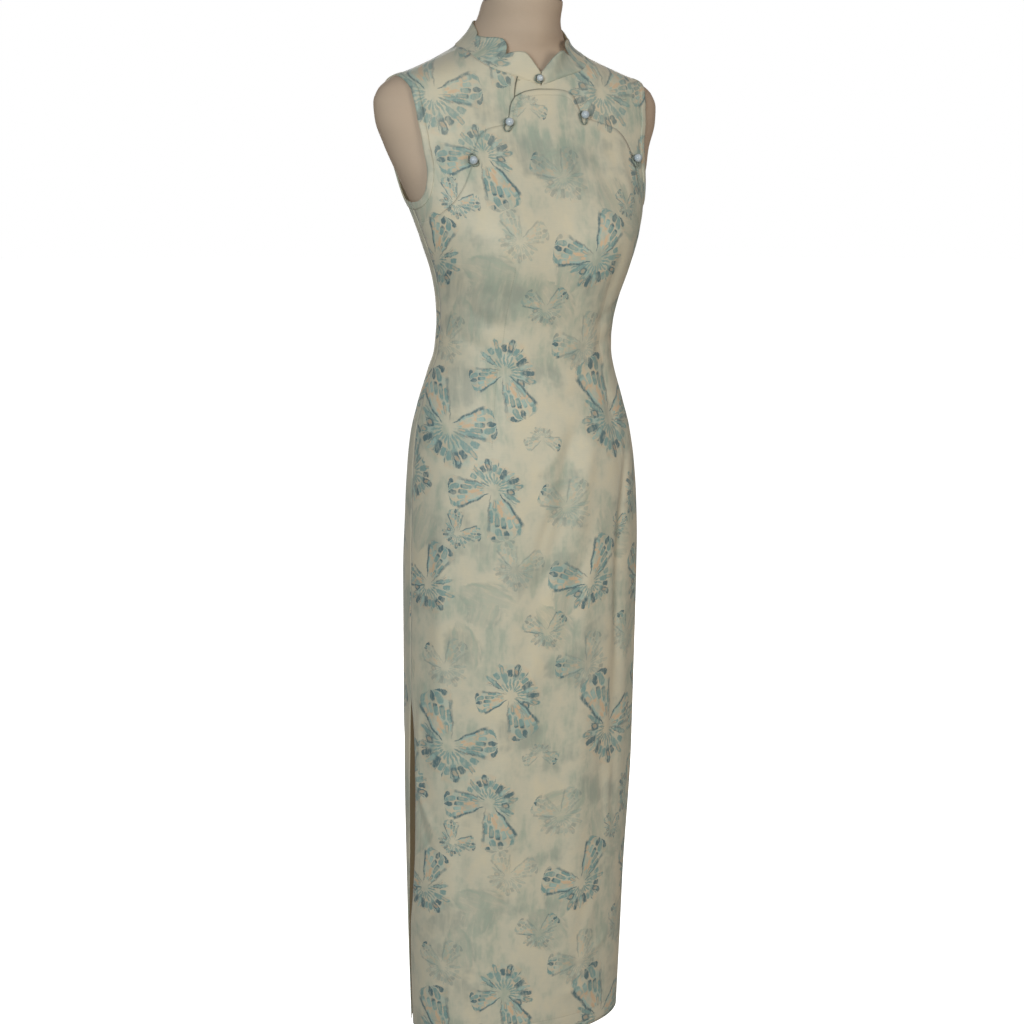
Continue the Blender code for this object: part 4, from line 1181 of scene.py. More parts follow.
class Web:
    """Adds nodes to a node tree and feeds each socket from a number, a colour or a signal."""

    def __init__(self, tree):
        self.tree = tree
        self.count = 0

    def add(self, kind, feeds=None, **settings):
        """A node with its settings and feeds, laid out in rows."""
        node = self.tree.nodes.new(kind)
        node.location = (220 * (self.count % 12), -260 * (self.count // 12))
        self.count += 1
        for name, value in settings.items():
            setattr(node, name, value)
        for key, value in (feeds or {}).items():
            self.feed(node.inputs[key], value)
        return node

    def made(self, kind, feeds=None, output=0, **settings):
        """The signal that a new node gives out."""
        return Signal(self, self.add(kind, feeds, **settings).outputs[output])

    def feed(self, socket, value):
        if isinstance(value, Signal):
            self.tree.links.new(value.socket, socket)
        else:
            socket.default_value = value if isinstance(value, (int, float)) else tuple(value)

    def maths(self, operation, a, b):
        return self.made("ShaderNodeMath", {0: a, 1: b}, operation=operation)

    def vectors(self, operation, a, b):
        feeds = {0: a, 3 if operation == "SCALE" else 1: b}
        return self.made("ShaderNodeVectorMath", feeds, operation=operation)

    def parts(self, vector):
        """The first two numbers of a vector."""
        node = self.add("ShaderNodeSeparateXYZ", {0: vector})
        return Signal(self, node.outputs[0]), Signal(self, node.outputs[1])

    def blend(self, share, a, b):
        """One colour where the share is 0 and another where it is 1."""
        return self.made("ShaderNodeMix", {0: share, 6: a, 7: b}, 2, data_type="RGBA", blend_type="MIX")

    def noise(self, place, scale, detail=2.0, rough=0.5, size=None, output="Fac"):
        if size:
            place = self.made("ShaderNodeMapping", {"Vector": place, "Scale": size})
        feeds = {"Vector": place, "Scale": scale, "Detail": detail, "Roughness": rough}
        return self.made("ShaderNodeTexNoise", feeds, output)

    def chance(self, x, y):
        """A random number for each pair of whole numbers."""
        place = self.made("ShaderNodeCombineXYZ", {0: x, 1: y})
        return self.made("ShaderNodeTexWhiteNoise", {"Vector": place}, "Value", noise_dimensions="2D")

    def bump(self, height, strength, distance, **feeds):
        feeds.update({"Height": height, "Strength": strength, "Distance": distance})
        return self.made("ShaderNodeBump", feeds)

    def uv(self, name):
        return self.made("ShaderNodeUVMap", uv_map=name)

    def object_place(self):
        return self.made("ShaderNodeTexCoord", output="Object")


def node_group(name, inputs, outputs):
    """Turns a function that fills a node tree into one that uses that tree, built once, as a group."""

    def tree_of(fill):
        tree = bpy.data.node_groups.new(name, "ShaderNodeTree")
        for in_out, sockets in (("INPUT", inputs), ("OUTPUT", outputs)):
            for key, kind in sockets.items():
                tree.interface.new_socket(key, in_out=in_out, socket_type="NodeSocket" + kind)
        web = Web(tree)
        given = web.add("NodeGroupInput").outputs
        results = fill(web, **{key: Signal(web, given[key]) for key in inputs})
        web.add("NodeGroupOutput", dict(zip(outputs, results)))
        return tree

    def decorate(fill):
        def use(web, **feeds):
            tree = bpy.data.node_groups.get(name) or tree_of(fill)
            node = web.add("ShaderNodeGroup", feeds, node_tree=tree)
            return [Signal(web, node.outputs[key]) for key in outputs]

        return use

    return decorate


def surface_material(name):
    """Turns a function that gives what feeds a surface into one that gives the material, built once."""

    def decorate(fill):
        def built():
            made = bpy.data.materials.get(name)
            if made:
                return made
            made = bpy.data.materials.new(name)
            made.use_nodes = True
            web = Web(made.node_tree)
            surface = made.node_tree.nodes["Principled BSDF"]
            for key, value in fill(web, colours()).items():
                web.feed(surface.inputs[key], value)
            return made

        return built

    return decorate


STROKE_COLOURS = ("dark", "deep", "light", "warm")
PRINT_INPUTS = {"place": "Vector", **{name: "Color" for name in STROKE_COLOURS}}
PRINT_OUTPUTS = {"colour": "Color", "mask": "Float"}
SPOKES = 3.6  # strokes of a fan for each radian
STITCH = 0.0026  # length of one stitch and the gap after it


def stroke_colour(web, chance, inks):
    """One of the four stroke colours for each random number."""
    shade = inks["warm"]
    for name, share in (("light", 0.15), ("deep", 0.38), ("dark", 0.72)):
        shade = web.blend(chance.step(share, share + 0.04), shade, inks[name])
    return shade


def mottled_glow(web, place, scale, inks):
    """The paler colour between the strokes, light in places and warm in others."""
    return web.blend(web.noise(place, scale).step(0.44, 0.56), inks["light"], inks["warm"])


def hand_drawn(web, place, amount):
    """A place shifted a little, so that strokes waver like a brush's."""
    cloud = web.noise(place, 3.6, 5.0, 0.68, output="Color")
    shift = web.vectors("SCALE", web.vectors("SUBTRACT", cloud, (0.5, 0.5, 0.5)), amount)
    return web.parts(web.vectors("ADD", place, shift))


@node_group("printed wing", PRINT_INPUTS, PRINT_OUTPUTS)
def printed_wing(web, place, **inks):
    """A blunt forewing: a dark front edge, blurred strokes in five lanes and dark blotches at its tip."""
    x, y = hand_drawn(web, place, 0.15)
    along = x.least(1.0).most(0.001)
    half = along**0.70 * 0.40 * (1.0 - along**9.0).root()
    across = y / half.most(0.004)
    within = abs(across).fall(0.98, 1.12) * x.step(0.08, 0.14) * x.fall(0.98, 1.03)
    front = across.step(0.80, 0.90) * x.fall(0.78, 0.86)
    hind = across.fall(-0.92, -0.84) * x.fall(0.70, 0.80)
    outline = front.most(hind * 0.8)

    lanes = (across + 1.0) * 2.5
    lane = lanes.floor()
    steps = x * (web.chance(lane, 7.0) * 1.6 + 3.4) + web.chance(lane, 3.0)
    step = steps.floor()
    pick, other = web.chance(lane, step + 0.5), web.chance(lane, step + 20.5)
    wide = abs(lanes.fract() - 0.5) / other.step(0.0, 1.0, 0.36, 0.64)
    long = abs(steps.fract() - 0.5) / pick.step(0.0, 1.0, 0.60, 0.46)
    blunt = wide**3.0 + long**3.0
    stroke = blunt.fall(0.45, 1.05) * x.step(0.16, 0.26) * pick.step(0.03, 0.10, 0.15, 1.0)

    inner = stroke_colour(web, pick * 0.86 + x.step(0.50, 0.90, 0.0, 0.42), inks)
    tint = x.step(0.15, 0.45) * 0.42
    glow = mottled_glow(web, place, 5.0, inks)
    core = blunt.step(0.02, 0.20, 0.75, 0.0) * other.step(0.50, 0.58)
    shade = web.blend(core, web.blend(stroke, glow, inner), glow)
    return web.blend(outline, shade, inks["dark"]), stroke.most(outline).most(tint) * within


@node_group("printed fan", PRINT_INPUTS, PRINT_OUTPUTS)
def printed_fan(web, place, **inks):
    """A fan of strokes round the body: thin and dark near it, broad and blurred at their outer ends."""
    x, y = hand_drawn(web, place, 0.20)
    away = (x * x + y * y).root()
    angle = web.maths("ARCTAN2", y, x)
    spokes = angle * SPOKES + 0.5
    spoke = spokes.floor()
    aside = abs(spokes.fract() - 0.5)
    distance = aside / SPOKES * away
    pick, other = web.chance(spoke, 2.0), web.chance(spoke, 5.0)
    share = away / (web.chance(spoke, 1.0) * 0.30 + 0.72)

    def stroke(middle, long, wide):
        return (abs((share - middle) / long) ** 3.0 + (distance / wide) ** 3.0).fall(0.40, 1.15)

    end_wide = pick.step(0.0, 1.0, 0.050, 0.090)
    end_long = other.step(0.0, 1.0, 0.14, 0.30)
    end_place = web.chance(spoke, 9.0).step(0.0, 1.0, 0.68, 0.86)
    blotch = stroke(end_place, end_long, end_wide)
    core = stroke(end_place, end_long * 0.55, end_wide * 0.50)
    core = core * web.chance(spoke, 14.0).step(0.36, 0.44, 0.0, 0.60)
    dash = stroke(other.step(0.0, 1.0, 0.34, 0.46), 0.20, 0.030) * 0.95
    middle = stroke(pick.step(0.0, 1.0, 0.58, 0.70), 0.22, 0.085) * other.step(0.20, 0.45, 0.40, 0.95)
    rib = aside.step(0.36, 0.44) * share.step(0.46, 0.56) * share.step(0.86, 0.96, 0.9, 0.0)
    rib = rib * web.chance(spoke, 12.0).step(0.42, 0.50)
    halo = away.step(0.20, 0.45) * share.step(0.92, 1.06, 0.34, 0.0)

    glow = mottled_glow(web, place, 4.0, inks)
    shade = web.blend(middle, glow, stroke_colour(web, other * 0.80, inks))
    shade = web.blend(dash, shade, inks["deep"])
    shade = web.blend(blotch, shade, stroke_colour(web, pick * 0.66 + 0.30, inks))
    shade = web.blend(rib, web.blend(core, shade, glow), inks["dark"])
    mask = blotch.most(dash).most(middle.most(halo)).most(rib)
    return shade, mask * abs(angle).fall(1.80, 1.95)


@node_group("faint wing", {"place": "Vector"}, {"mask": "Float", "tone": "Float"})
def faint_wing(web, place):
    """A faint leaf-shaped wing brushed into the ground, with soft edges and streaks along it."""
    x, y = hand_drawn(web, place, 0.22)
    bulge = (x.least(1.0).most(0.0) ** 0.8 * math.pi).sine()
    edge = abs(y) / (bulge * 0.30).most(0.01)
    streaks = web.noise(place, 9.0, 3.0, 0.6, (0.35, 1.6, 1.0))
    rim = edge.step(0.45, 0.85, 0.55, 1.0) * edge.fall(0.85, 1.15)
    ends = x.step(0.04, 0.22) * x.fall(0.80, 0.96)
    return rim * streaks.step(0.34, 0.60, 0.15, 1.0) * ends, streaks


@node_group("silk weave", {"place": "Vector", "step": "Float"}, {"height": "Float", "mask": "Float"})
def silk_weave(web, place, step):
    """Fine silk: threads both ways and uneven thicker threads across."""
    x, y = web.parts(place)
    turns = 2 * math.pi / step
    threads = ((x * turns).sine() + (y * turns).sine()) * 0.10
    slub = web.noise(place, 60.0, 3.0, 0.6, (1.0, 26.0, 1.0))
    grain = web.noise(place, 900.0, 2.0, 0.6)
    return threads + (slub + grain * 0.35), slub


@node_group("brushed washes", {"place": "Vector"}, {name: "Float" for name in ("warm", "aqua", "grey")})
def brushed_washes(web, place):
    """Masks of brushed washes: warm patches, streaks up the cloth and soft clouds."""
    streaks = web.noise(place, 100.0, 4.0, 0.65, (1.0, 0.20, 1.0))
    fine = web.noise(place, 95.0, 3.0, 0.6, (1.0, 0.16, 1.0))
    clouds = web.noise(place, 17.0, 4.0, 0.62, (1.0, 0.70, 1.0))
    patches = web.noise(place, 12.0, 4.0, 0.60, (0.9, 1.0, 1.0))
    aqua = clouds.step(0.46, 0.62) * streaks.step(0.36, 0.60, 0.30, 1.0)
    grey = patches.step(0.52, 0.64) * fine.step(0.34, 0.62, 0.35, 1.0)
    return clouds.fall(0.30, 0.52), aqua, grey


@node_group("sewn line", {"place": "Vector"}, {"line": "Float", "height": "Float"})
def sewn_line(web, place):
    """A sewn line where the offset is nil: short stitches, and a groove that pinches the silk."""
    along, aside = web.parts(place)
    offset = abs(aside)
    stitch = (along / STITCH).fract().step(0.70, 0.80, 1.0, 0.25)
    sewn = along.step(-0.002, 0.0)
    line = offset.fall(0.0003, 0.0010) * (stitch * sewn)
    return line, 1.0 - offset.fall(0.0, 0.0045) * sewn


@surface_material("printed silk")
def printed_silk(web, paint):
    """The silk's right side: brushed washes, faint wings, butterflies, stitches, a fine weave and a thin
    painted shadow along finished edges.
    """
    cloth = web.uv("cloth")
    up = web.parts(cloth)[1]
    warm, aqua, grey = brushed_washes(web, place=cloth)
    shade = web.blend(warm * 0.60, paint.ground, paint.warm_wash)
    shade = web.blend(aqua * up.step(*SHOULDER_BLEND, 0.80, 1.0), shade, paint.aqua_wash)
    shade = web.blend(grey * 0.62, shade, paint.grey_wash)
    mask, tone = faint_wing(web, place=web.uv("faint_wing"))
    tone = web.blend(tone.step(0.40, 0.60), paint.grey_wash, paint.aqua_wash)
    shade = web.blend(mask * 0.80, shade, tone)
    inks = {"dark": paint.slate, "deep": paint.teal, "light": paint.aqua, "warm": paint.peach}
    worn = web.noise(cloth, 240.0, 3.0, 0.6, (1.0, 0.45, 1.0)).step(0.32, 0.56, 0.52, 0.98)
    worn = worn * up.step(*SHOULDER_BLEND, 1.0, 0.80)
    strength = web.parts(web.uv("strength"))
    layers = [("fan", printed_fan, 1), ("wing_a", printed_wing, 0), ("wing_b", printed_wing, 1)]
    for name, kind, side in layers:
        painted, mask = kind(web, place=web.uv(name), **inks)
        shade = web.blend(mask * worn * strength[side], shade, painted)
    line, groove = sewn_line(web, place=web.uv("seam"))
    shade = web.blend(line * 0.17, shade, paint.thread_and_shade)
    # Painted shadow: a thin dark band along the finished edges, as strong as the edge map says
    distance, shadow_strength = web.parts(web.uv("edge"))
    shade = web.blend(distance.step(0.0006, 0.0020, 0.85, 0.0) * shadow_strength, shade, paint.thread_and_shade)
    threads, slub = silk_weave(web, place=cloth, step=sizes().thread_step)
    fine = web.bump(threads, 0.10, 0.0004)
    return {
        "Base Color": web.blend(slub.step(0.30, 0.75, 0.10, 0.0), shade, paint.grey_wash),
        "Roughness": slub.step(0.2, 0.8, 0.60, 0.48),
        "Sheen Weight": 0.18,
        "Sheen Roughness": 0.45,
        "Specular IOR Level": 0.32,
        "Normal": web.bump(groove, 0.25, 0.0006, Normal=fine),
    }


@surface_material("silk wrong side")
def wrong_side(web, paint):
    """The inner side of the silk, where the print shows through only as a paler tone, with a faint painted
    glow.
    """
    cloth = web.uv("cloth")
    _, aqua, _ = brushed_washes(web, place=cloth)
    threads, slub = silk_weave(web, place=cloth, step=sizes().thread_step)
    shade = web.blend(aqua * 0.25, paint.wrong_side, paint.aqua_wash)
    shade = web.blend(slub * 0.20, shade, paint.warm_wash)
    return {
        "Base Color": shade,
        "Roughness": slub.step(0.2, 0.8, 0.70, 0.60),
        "Normal": web.bump(threads, 0.12, 0.0004),
        # Painted light: the wrong side glows faintly in its own colour, standing in for daylight coming
        # through the thin silk
        "Emission Color": shade,
        "Emission Strength": 0.10,  # daylight through the thin silk
    }


@surface_material("pearl lustre")
def pearl(web, paint):
    """A pearl with soft swirls under a clear coat."""
    place = web.object_place()
    dust = web.noise(place, 900.0)
    return {
        "Base Color": web.blend(web.noise(place, 140.0, 3.0).step(0.38, 0.66), paint.pearl, paint.pearl_glow),
        "Roughness": dust.step(0.3, 0.7, 0.16, 0.26),
        "Specular IOR Level": 0.55,
        "Coat Weight": 0.35,
        "Coat Roughness": 0.08,
        "Normal": web.bump(dust, 0.05, 0.0002),
    }


@surface_material("loop cord")
def loop_cord(web, paint):
    """Twisted silk cord, darkened in random patches as painted shade; its own map runs along and round it in
    metres.
    """
    along, around = web.parts(web.uv("cloth"))
    strand = abs(((along + around) / sizes().cord_twist * math.pi).sine())
    fuzz = web.noise(web.uv("cloth"), 2200.0, 2.0, 0.6)
    # Painted shade: random patches of the cord darkened towards the thread colour
    painted_shade_patches = web.noise(web.object_place(), 170.0)
    shade = web.blend(strand.step(0.1, 0.9), paint.grey_wash, paint.cord)
    shade = web.blend(painted_shade_patches.step(0.45, 0.60, 0.0, 0.85), shade, paint.thread_and_shade)
    return {
        "Base Color": web.blend(fuzz * 0.30, shade, paint.aqua),
        "Roughness": fuzz.step(0.3, 0.7, 0.50, 0.68),
        "Normal": web.bump(strand, 0.6, 0.0003),
    }


@surface_material("form cover")
def form_cover(web, paint):
    """The form's matte cover, a fine stretched knit with slight mottling and handling marks."""
    place = web.object_place()
    mottle = web.noise(place, 16.0, 4.0, 0.55)
    grain = web.noise(place, 1100.0, 2.0, 0.6)
    knit = web.noise(place, 420.0, size=(1.0, 1.0, 2.2))
    shade = web.blend(mottle.step(0.35, 0.70, 0.0, 0.22), paint.form, paint.form_pale)
    return {
        "Base Color": web.blend(grain.step(0.3, 0.7, 0.10, 0.0), shade, paint.form_grain),
        "Roughness": mottle.step(0.3, 0.7, 0.56, 0.68),
        "Specular IOR Level": 0.30,
        "Normal": web.bump(knit + grain, 0.10, 0.0003),
    }


@surface_material("stand metal")
def stand_metal(web, paint):
    """Satin dark metal with fine brushing, paler rubbed patches and dust."""
    place = web.object_place()
    brushed = web.noise(place, 60.0, 4.0, 0.6, (1.0, 1.0, 9.0))
    rubbed = web.noise(place, 22.0, 4.0, 0.6)
    shade = web.blend(rubbed.step(0.58, 0.74, 0.0, 0.45), paint.metal, paint.metal_rubbed)
    dusty = web.noise(place, 500.0).step(0.60, 0.75, 0.0, 0.20)
    return {
        "Base Color": web.blend(dusty, shade, paint.dust),
        "Metallic": 0.75,
        "Roughness": (brushed + rubbed).step(0.7, 1.3, 0.34, 0.50),
        "Normal": web.bump(brushed, 0.06, 0.0004),
    }


@surface_material("studio floor")
def studio_floor(web, paint):
    """A floor that the camera sees nearly white, and that throws back a softer light on the dress."""
    mottle = web.noise(web.object_place(), 1.5, 3.0).step(0.3, 0.7, 0.0, 0.10)
    shade = web.blend(mottle, paint.floor, paint.floor_shade)
    lit = {"Base Color": shade, "Emission Color": shade, "Roughness": 0.85, "Emission Strength": 1.08}
    seen = web.made("ShaderNodeLightPath", output="Is Camera Ray")
    own = Signal(web, web.tree.nodes["Principled BSDF"].outputs[0])
    either = web.made("ShaderNodeMixShader", {0: seen, 1: own, 2: web.made("ShaderNodeBsdfPrincipled", lit)})
    web.feed(web.tree.nodes["Material Output"].inputs["Surface"], either)
    return {"Base Color": paint.floor_bounce, "Roughness": 0.85}


class CHEONGSAM_OT_front_panel(bpy.types.Operator):
    """Make the front panel: skirt, bodice and scalloped placket edge in one piece of silk"""

    bl_idname = "cheongsam.front_panel"
    bl_label = "Front panel"

    def execute(self, context):
        edge, lap, _ = placket()
        places, lift = front_places(edge, lap)
        points = silk_surface(places, lift)
        flat = flat_places(places, 0)
        up, across = run_lengths(points, 0), run_lengths(points, 1)
        below = up[-1:] - up
        middle, half = STITCHED_ARCH
        stitched = np.where(abs(places[..., 0] - middle) < half, across, NO_STITCH)
        seams = [(stitched, below - STITCH_INSET)] + panel_seams(places, up, across)
        seams += [dart_line(flat, 0, dart) for dart in DARTS[:2]]
        # Strength of the painted shadow along the placket's edge, by turn
        shade = np.interp(places[..., 0], EDGE_SHADE[:, 0], EDGE_SHADE[:, 1])
        thick = sizes().silk_thickness
        piece = silk_piece("silk_front", "front_panel", points, flat, seams, (below, shade), thick)
        return {"FINISHED"}


class CHEONGSAM_OT_back_panel(bpy.types.Operator):
    """Make the back panel, from the hem to the shoulders and the back of the neck"""

    bl_idname = "cheongsam.back_panel"
    bl_label = "Back panel"

    def execute(self, context):
        places = back_places()
        points = silk_surface(places, 0.0)
        flat = flat_places(places, 180, PRINT_SHIFT_BACK)
        up, across = run_lengths(points, 0), run_lengths(points, 1)
        seams = panel_seams(places, up, across)
        seams += [dart_line(flat, 180, dart, PRINT_SHIFT_BACK) for dart in DARTS[2:]]
        thick = sizes().silk_thickness
        piece = silk_piece("silk_back", "back_panel", points, flat, seams, (up, 0.0), thick)
        return {"FINISHED"}


class CHEONGSAM_OT_yokes(bpy.types.Operator):
    """Make the two yokes, which run from the collar and shoulders to under the placket's edge"""

    bl_idname = "cheongsam.yokes"
    bl_label = "Yokes"

    def execute(self, context):
        edge, lap, count = placket()
        thick = sizes().silk_thickness
        for name, side, part in (("right", -1, slice(0, count)), ("left", 1, slice(count - 1, None))):
            places, sunk = yoke_places(edge[part], lap[part], side), 0.0
            if side > 0:
                places, sunk = with_flap(places)
            places = off_seams(places)
            points = silk_surface(places, sunk)
            up, across = run_lengths(points, 0), run_lengths(points, 1)
            front = across[:, -1:] - across
            seams = [(up, front - STITCH_INSET)] if side < 0 else [(np.full(up.shape, NO_STITCH), up)]
            # Painted shadow along the right yoke's front edge; none on the left yoke
            shade = (front, 1.0 if side < 0 else 0.0)
            flat = flat_places(places, 0)
            piece = silk_piece("silk_yoke_" + name, "yoke_" + name, points, flat, seams, shade, thick)
        return {"FINISHED"}


class CHEONGSAM_OT_collar(bpy.types.Operator):
    """Make the stand collar with two petals on each side of its front notch"""

    bl_idname = "cheongsam.collar"
    bl_label = "Collar"

    def execute(self, context):
        side = joined_arcs(COLLAR_ARCS)
        turn, top = split(np.concatenate([side, other_side(side[-2::-1])]))
        left = signed(turn)
        flare = spline(COLLAR_TOP[:, 0], COLLAR_TOP[:, 2], abs(left))
        share = np.linspace(0, 1, COLLAR_ROWS * FINER + 1)[:, None]
        foot = neckline(turn) + COLLAR_GAP
        crest = np.exp(-(((left - PETAL_TURN - PETAL_LEAN * share) / PETAL_WIDTH) ** 2)) * ease(0, 3, left)
        out = COLLAR_OUT + flare * share**2 + PETAL_CREST * crest * share**CREST_POWER
        out = np.concatenate([np.broadcast_to(COLLAR_FOOT[:, 1:], (len(COLLAR_FOOT), len(turn))), out])
        height = np.concatenate([foot + COLLAR_FOOT[:, :1], foot + (top - foot) * share])
        turn = np.broadcast_to(turn, height.shape)
        points = laid(turn, height, out)
        flat = np.stack([turn / 360 * PRINT_WIDTH, height], -1) + PRINT_SHIFT_COLLAR
        up = run_lengths(points, 0)
        # Painted shadow, at 0.40 strength, along the collar's top edge and along its foot
        seams, shade = [(np.full(up.shape, NO_STITCH), up)], (np.minimum(up[-1:] - up, up), 0.40)
        thick = sizes().collar_thickness
        piece = silk_piece("silk_collar", "collar", points, flat, seams, shade, thick)
        return {"FINISHED"}


class CHEONGSAM_OT_bindings(bpy.types.Operator):
    """Make the narrow silk bindings round the two armholes"""

    bl_idname = "cheongsam.bindings"
    bl_label = "Armhole bindings"

    def execute(self, context):
        thick = sizes().silk_thickness
        share = np.linspace(0, 1, BINDING_COLUMNS + 1)
        for name, side in (("right", -1), ("left", 1)):
            ring = divided(binding_places(side), 0)
            places = ring[:, :1] + (ring[:, 1:] - ring[:, :1]) * share[None, :, None]
            points = laid(*split(places), BINDING_CROWN * np.sin(share * math.pi) + BINDING_RISE)
            points[-1] = points[0]
            across = run_lengths(points, 1)
            inner = across if side > 0 else across[:, -1:] - across
            seams = [(np.full(inner.shape, NO_STITCH), inner)]
            names, flat = ("silk_binding_" + name, "binding_" + name), flat_places(places, 0)
            piece = silk_piece(*names, points, flat, seams, (inner, 0.0), thick, lined=False)
        return {"FINISHED"}


class CHEONGSAM_OT_buttons(bpy.types.Operator):
    """Make the five pearl buttons and the cord loops that hold them"""

    bl_idname = "cheongsam.buttons"
    bl_label = "Pearl buttons and loops"

    def execute(self, context):
        for number, (turn, height, rest, radius, *leg) in enumerate(BUTTONS, 1):
            middle = Vector(laid(turn, height, rest + GAP + radius))
            facing = Vector(figure_frame(turn, height)[2]).to_track_quat("Z", "Y").to_matrix().to_4x4()
            ball = bmesh.new()
            bmesh.ops.create_uvsphere(ball, u_segments=32, v_segments=20, radius=radius)
            bmesh.ops.transform(ball, matrix=Matrix.Translation(middle) @ facing, verts=ball.verts)
            mesh = mesh_of(f"pearl_{number}", ball)
            rigid_piece(f"pearl_{number}", mesh, pearl(), f"button_{number}")
            self.loop(number, turn, height, rest, radius, leg)
        return {"FINISHED"}

    def loop(self, number, turn, height, rest, radius, leg):
        """A loop of cord round the foot of a pearl, drawn out into a leg where it is sewn down."""
        per_turn, per_height = (np.linalg.norm(step) for step in figure_frame(turn, height)[:2])
        lift = rest + 2 * GAP + LOOP_RADIUS
        ring = math.sqrt((radius + LOOP_RADIUS + 2 * GAP) ** 2 - (rest + GAP + radius - lift) ** 2) + 2 * GAP
        sweep = np.linspace(0, 2 * math.pi, LOOP_STEPS + 1)
        toward = np.clip(np.cos(sweep - math.atan2(leg[1], leg[0])), 0, 1) ** LEG_POWER
        reach = ring * (1 + LEG_REACH * math.hypot(*leg) * toward)
        line = (turn + reach * np.cos(sweep) / per_turn, height + reach * np.sin(sweep) / per_height)
        centres, out = laid(*line, lift), figure_frame(*line)[2]
        ahead = np.concatenate([centres[1:], centres[1:2]]) - np.concatenate([centres[-2:-1], centres[:-1]])
        ahead[-1] = ahead[0]
        across = np.cross(out, ahead)
        across /= np.linalg.norm(across, axis=1, keepdims=True)
        angle = np.linspace(0, 2 * math.pi, CORD_SIDES + 1)
        rim = np.cos(angle)[:, None] * across[:, None] + np.sin(angle)[:, None] * out[:, None]
        points = centres[:, None] + LOOP_RADIUS * rim
        points[-1], points[:, -1] = points[0], points[:, 0]
        mesh = grid_mesh(f"loop_{number}", points)
        run = run_lengths(centres[:, None], 0)[:, 0]
        flat = np.stack(np.meshgrid(angle * LOOP_RADIUS, run), -1)
        write_uv(mesh, "cloth", flat.reshape(-1, 2)[corner_numbers(mesh)])
        rigid_piece(f"loop_{number}", close_grid(mesh), loop_cord(), f"button_loop_{number}")


class CHEONGSAM_OT_form(bpy.types.Operator):
    """Make the limbless dress form and the cap on its neck"""

    bl_idname = "cheongsam.form"
    bl_label = "Dress form"

    def execute(self, context):
        height = straight_steps(FORM_ROWS, FORM_FINER)[:, None]
        turn = np.linspace(0, 360, FORM_COLUMNS + 1)
        rings = laid(turn, height, -form_skin(turn, height), folded=False)
        rings[..., 2] = height
        rings[..., :2] *= np.interp(height, FORM_ROWS[:3], FOOT_SHARES)[..., None]
        rings[:, -1] = rings[:, 0]
        top = rings[-1]
        x, y, _ = middle = top[:-1].mean(0)
        cap = np.stack([(top - middle) * (share, share, 0) + (x, y, z) for z, share in NECK_CAP])
        cap[:, -1] = cap[:, 0]
        body, cap = close_grid(grid_mesh("form_cover", rings)), close_grid(grid_mesh("neck_cap", cap))
        rigid_piece("form_cover", body, form_cover(), "form_body", sharp=40)
        rigid_piece("neck_cap", cap, stand_metal(), "form_neck_cap", sharp=40)
        return {"FINISHED"}


class CHEONGSAM_OT_stand(bpy.types.Operator):
    """Make the round base and the pole"""

    bl_idname = "cheongsam.stand"
    bl_label = "Stand"

    def execute(self, context):
        angles = np.linspace(0, math.pi / 2, RIM_STEPS + 1)
        arc = [(math.sin(angle) * BASE_RIM, math.cos(angle) * BASE_RIM) for angle in angles]
        flat = BASE_RADIUS - BASE_RIM
        profile = [(0.0, 0.0), (flat, 0.0)] + [(flat + x, BASE_RIM - z) for x, z in arc[1:]]
        profile += [(flat + z, BASE_THICK - BASE_RIM + x) for x, z in arc] + HUB_PROFILE
        base = spun("base_plate", profile, BASE_STEPS)
        rigid_piece("base_plate", base, stand_metal(), "stand_base", sharp=30)
        low, high, inner = HUB_TOP + GAP, FORM_FOOT - GAP, POLE_RADIUS - POLE_RIM
        tube = [(0.0, low), (inner, low), (POLE_RADIUS, low + POLE_RIM)]
        tube += [(POLE_RADIUS, high - POLE_RIM), (inner, high), (0.0, high)]
        pole = spun("pole", tube, POLE_STEPS)
        rigid_piece("pole", pole, stand_metal(), "stand_pole", sharp=30)
        return {"FINISHED"}


# Where the camera stands and looks, and what lights the studio
CAMERA_PLACE = (-1.1485, -2.3548, 1.278)
CAMERA_HEADING = -25.7135  # degrees to the left of straight ahead, seen from above: it looks to the right
CAMERA_PITCH = 9.5  # degrees below the horizon
LENS = 70.3125
SENSOR = 36.0
FLOOR_RADIUS = 30.0
AMBIENT = 0.26  # strength of the light that comes from all round
WARM_AMBIENT = (1.0, 0.96, 0.93, 1)  # its colour, which the camera sees as white
WHITE = (1.0, 1.0, 1.0, 1)
LIGHT_AIM = (0, 0, 0.95)
SOFT_LIGHTS = [
    # name, place, width, height, power, colour
    ("key", (-1.95, -2.30, 1.7), 0.8, 1.2, 45, (0.95, 1.0, 0.98)),
    ("fill", (0.90, -2.75, 1.6), 1.1, 1.1, 24, (1.0, 0.90, 0.76)),
    ("back", (1.10, 3.00, 1.7), 2.0, 1.8, 52, (1.0, 0.98, 0.94)),
]


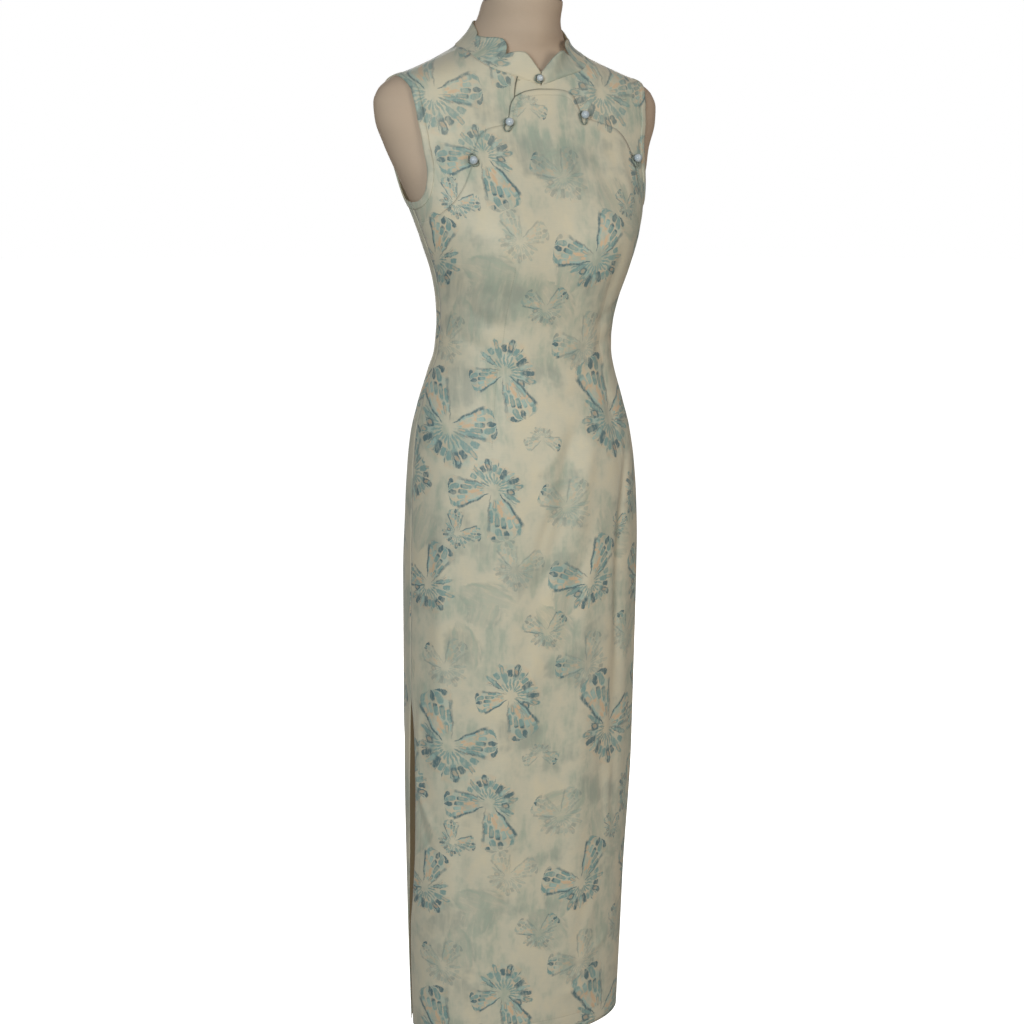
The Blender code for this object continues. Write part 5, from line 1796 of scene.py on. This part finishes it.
class CHEONGSAM_OT_stage(bpy.types.Operator):
    """Set up the pale floor, the soft studio lights and the camera"""

    bl_idname = "cheongsam.stage"
    bl_label = "Studio"

    def add(self, context, name, data, place, look=None):
        """An object at a place, turned to look along a direction."""
        item = bpy.data.objects.new(name, data)
        item.location = place
        if look:
            item.rotation_euler = look.to_track_quat("-Z", "Y").to_euler()
        context.scene.collection.objects.link(item)
        return item

    def execute(self, context):
        shape = bmesh.new()
        bmesh.ops.create_circle(shape, cap_ends=True, segments=64, radius=FLOOR_RADIUS)
        mesh = mesh_of("studio_floor", shape)
        mesh.materials.append(studio_floor())
        floor = self.add(context, "studio_floor", mesh, (0, 0, 0))
        world = context.scene.world or bpy.data.worlds.new("studio")
        context.scene.world = world
        world.use_nodes = True
        web = Web(world.node_tree)
        background = world.node_tree.nodes["Background"]
        seen = web.made("ShaderNodeLightPath", output="Is Camera Ray")
        web.feed(background.inputs["Color"], web.blend(seen, WARM_AMBIENT, WHITE))
        web.feed(background.inputs["Strength"], seen.step(0.0, 1.0, AMBIENT, 1.0))
        context.scene.view_settings.view_transform = "Standard"
        for name, place, width, height, power, tint in SOFT_LIGHTS:
            lamp = bpy.data.lights.new(name, "AREA")
            lamp.shape = "RECTANGLE"
            lamp.size, lamp.size_y, lamp.energy, lamp.color = width, height, power, tint
            self.add(context, name, lamp, place, Vector(LIGHT_AIM) - Vector(place))
        lens = bpy.data.cameras.new("studio_camera")
        lens.lens, lens.sensor_width = LENS, SENSOR
        heading, pitch = math.radians(CAMERA_HEADING), math.radians(CAMERA_PITCH)
        ahead, down = math.cos(pitch), -math.sin(pitch)
        look = Vector((-math.sin(heading) * ahead, math.cos(heading) * ahead, down))
        context.scene.camera = self.add(context, "studio_camera", lens, CAMERA_PLACE, look)
        return {"FINISHED"}


class CHEONGSAM_PT_pieces(bpy.types.Panel):
    """Lists the pieces of the dress and its settings"""

    bl_label = "Cheongsam"
    bl_idname = "CHEONGSAM_PT_pieces"
    bl_space_type = "VIEW_3D"
    bl_region_type = "UI"
    bl_category = "Cheongsam"

    def draw(self, context):
        for operator in PIECES:
            self.layout.operator(operator.bl_idname)
        for settings in (sizes(), colours()):
            for name in settings.__annotations__:
                self.layout.prop(settings, name)


PIECES = (
    CHEONGSAM_OT_stage,
    CHEONGSAM_OT_form,
    CHEONGSAM_OT_stand,
    CHEONGSAM_OT_front_panel,
    CHEONGSAM_OT_back_panel,
    CHEONGSAM_OT_yokes,
    CHEONGSAM_OT_collar,
    CHEONGSAM_OT_bindings,
    CHEONGSAM_OT_buttons,
)
CLASSES = (CheongsamSizes, CheongsamColours) + PIECES + (CHEONGSAM_PT_pieces,)


def register():
    for item in CLASSES:
        bpy.utils.register_class(item)
    bpy.types.Scene.cheongsam_sizes = bpy.props.PointerProperty(type=CheongsamSizes)
    bpy.types.Scene.cheongsam_colours = bpy.props.PointerProperty(type=CheongsamColours)


def unregister():
    del bpy.types.Scene.cheongsam_colours
    del bpy.types.Scene.cheongsam_sizes
    for item in reversed(CLASSES):
        bpy.utils.unregister_class(item)


def main():
    register()
    for piece in PIECES:
        getattr(bpy.ops.cheongsam, piece.bl_idname.split(".")[1])()


if __name__ == "__main__":
    main()
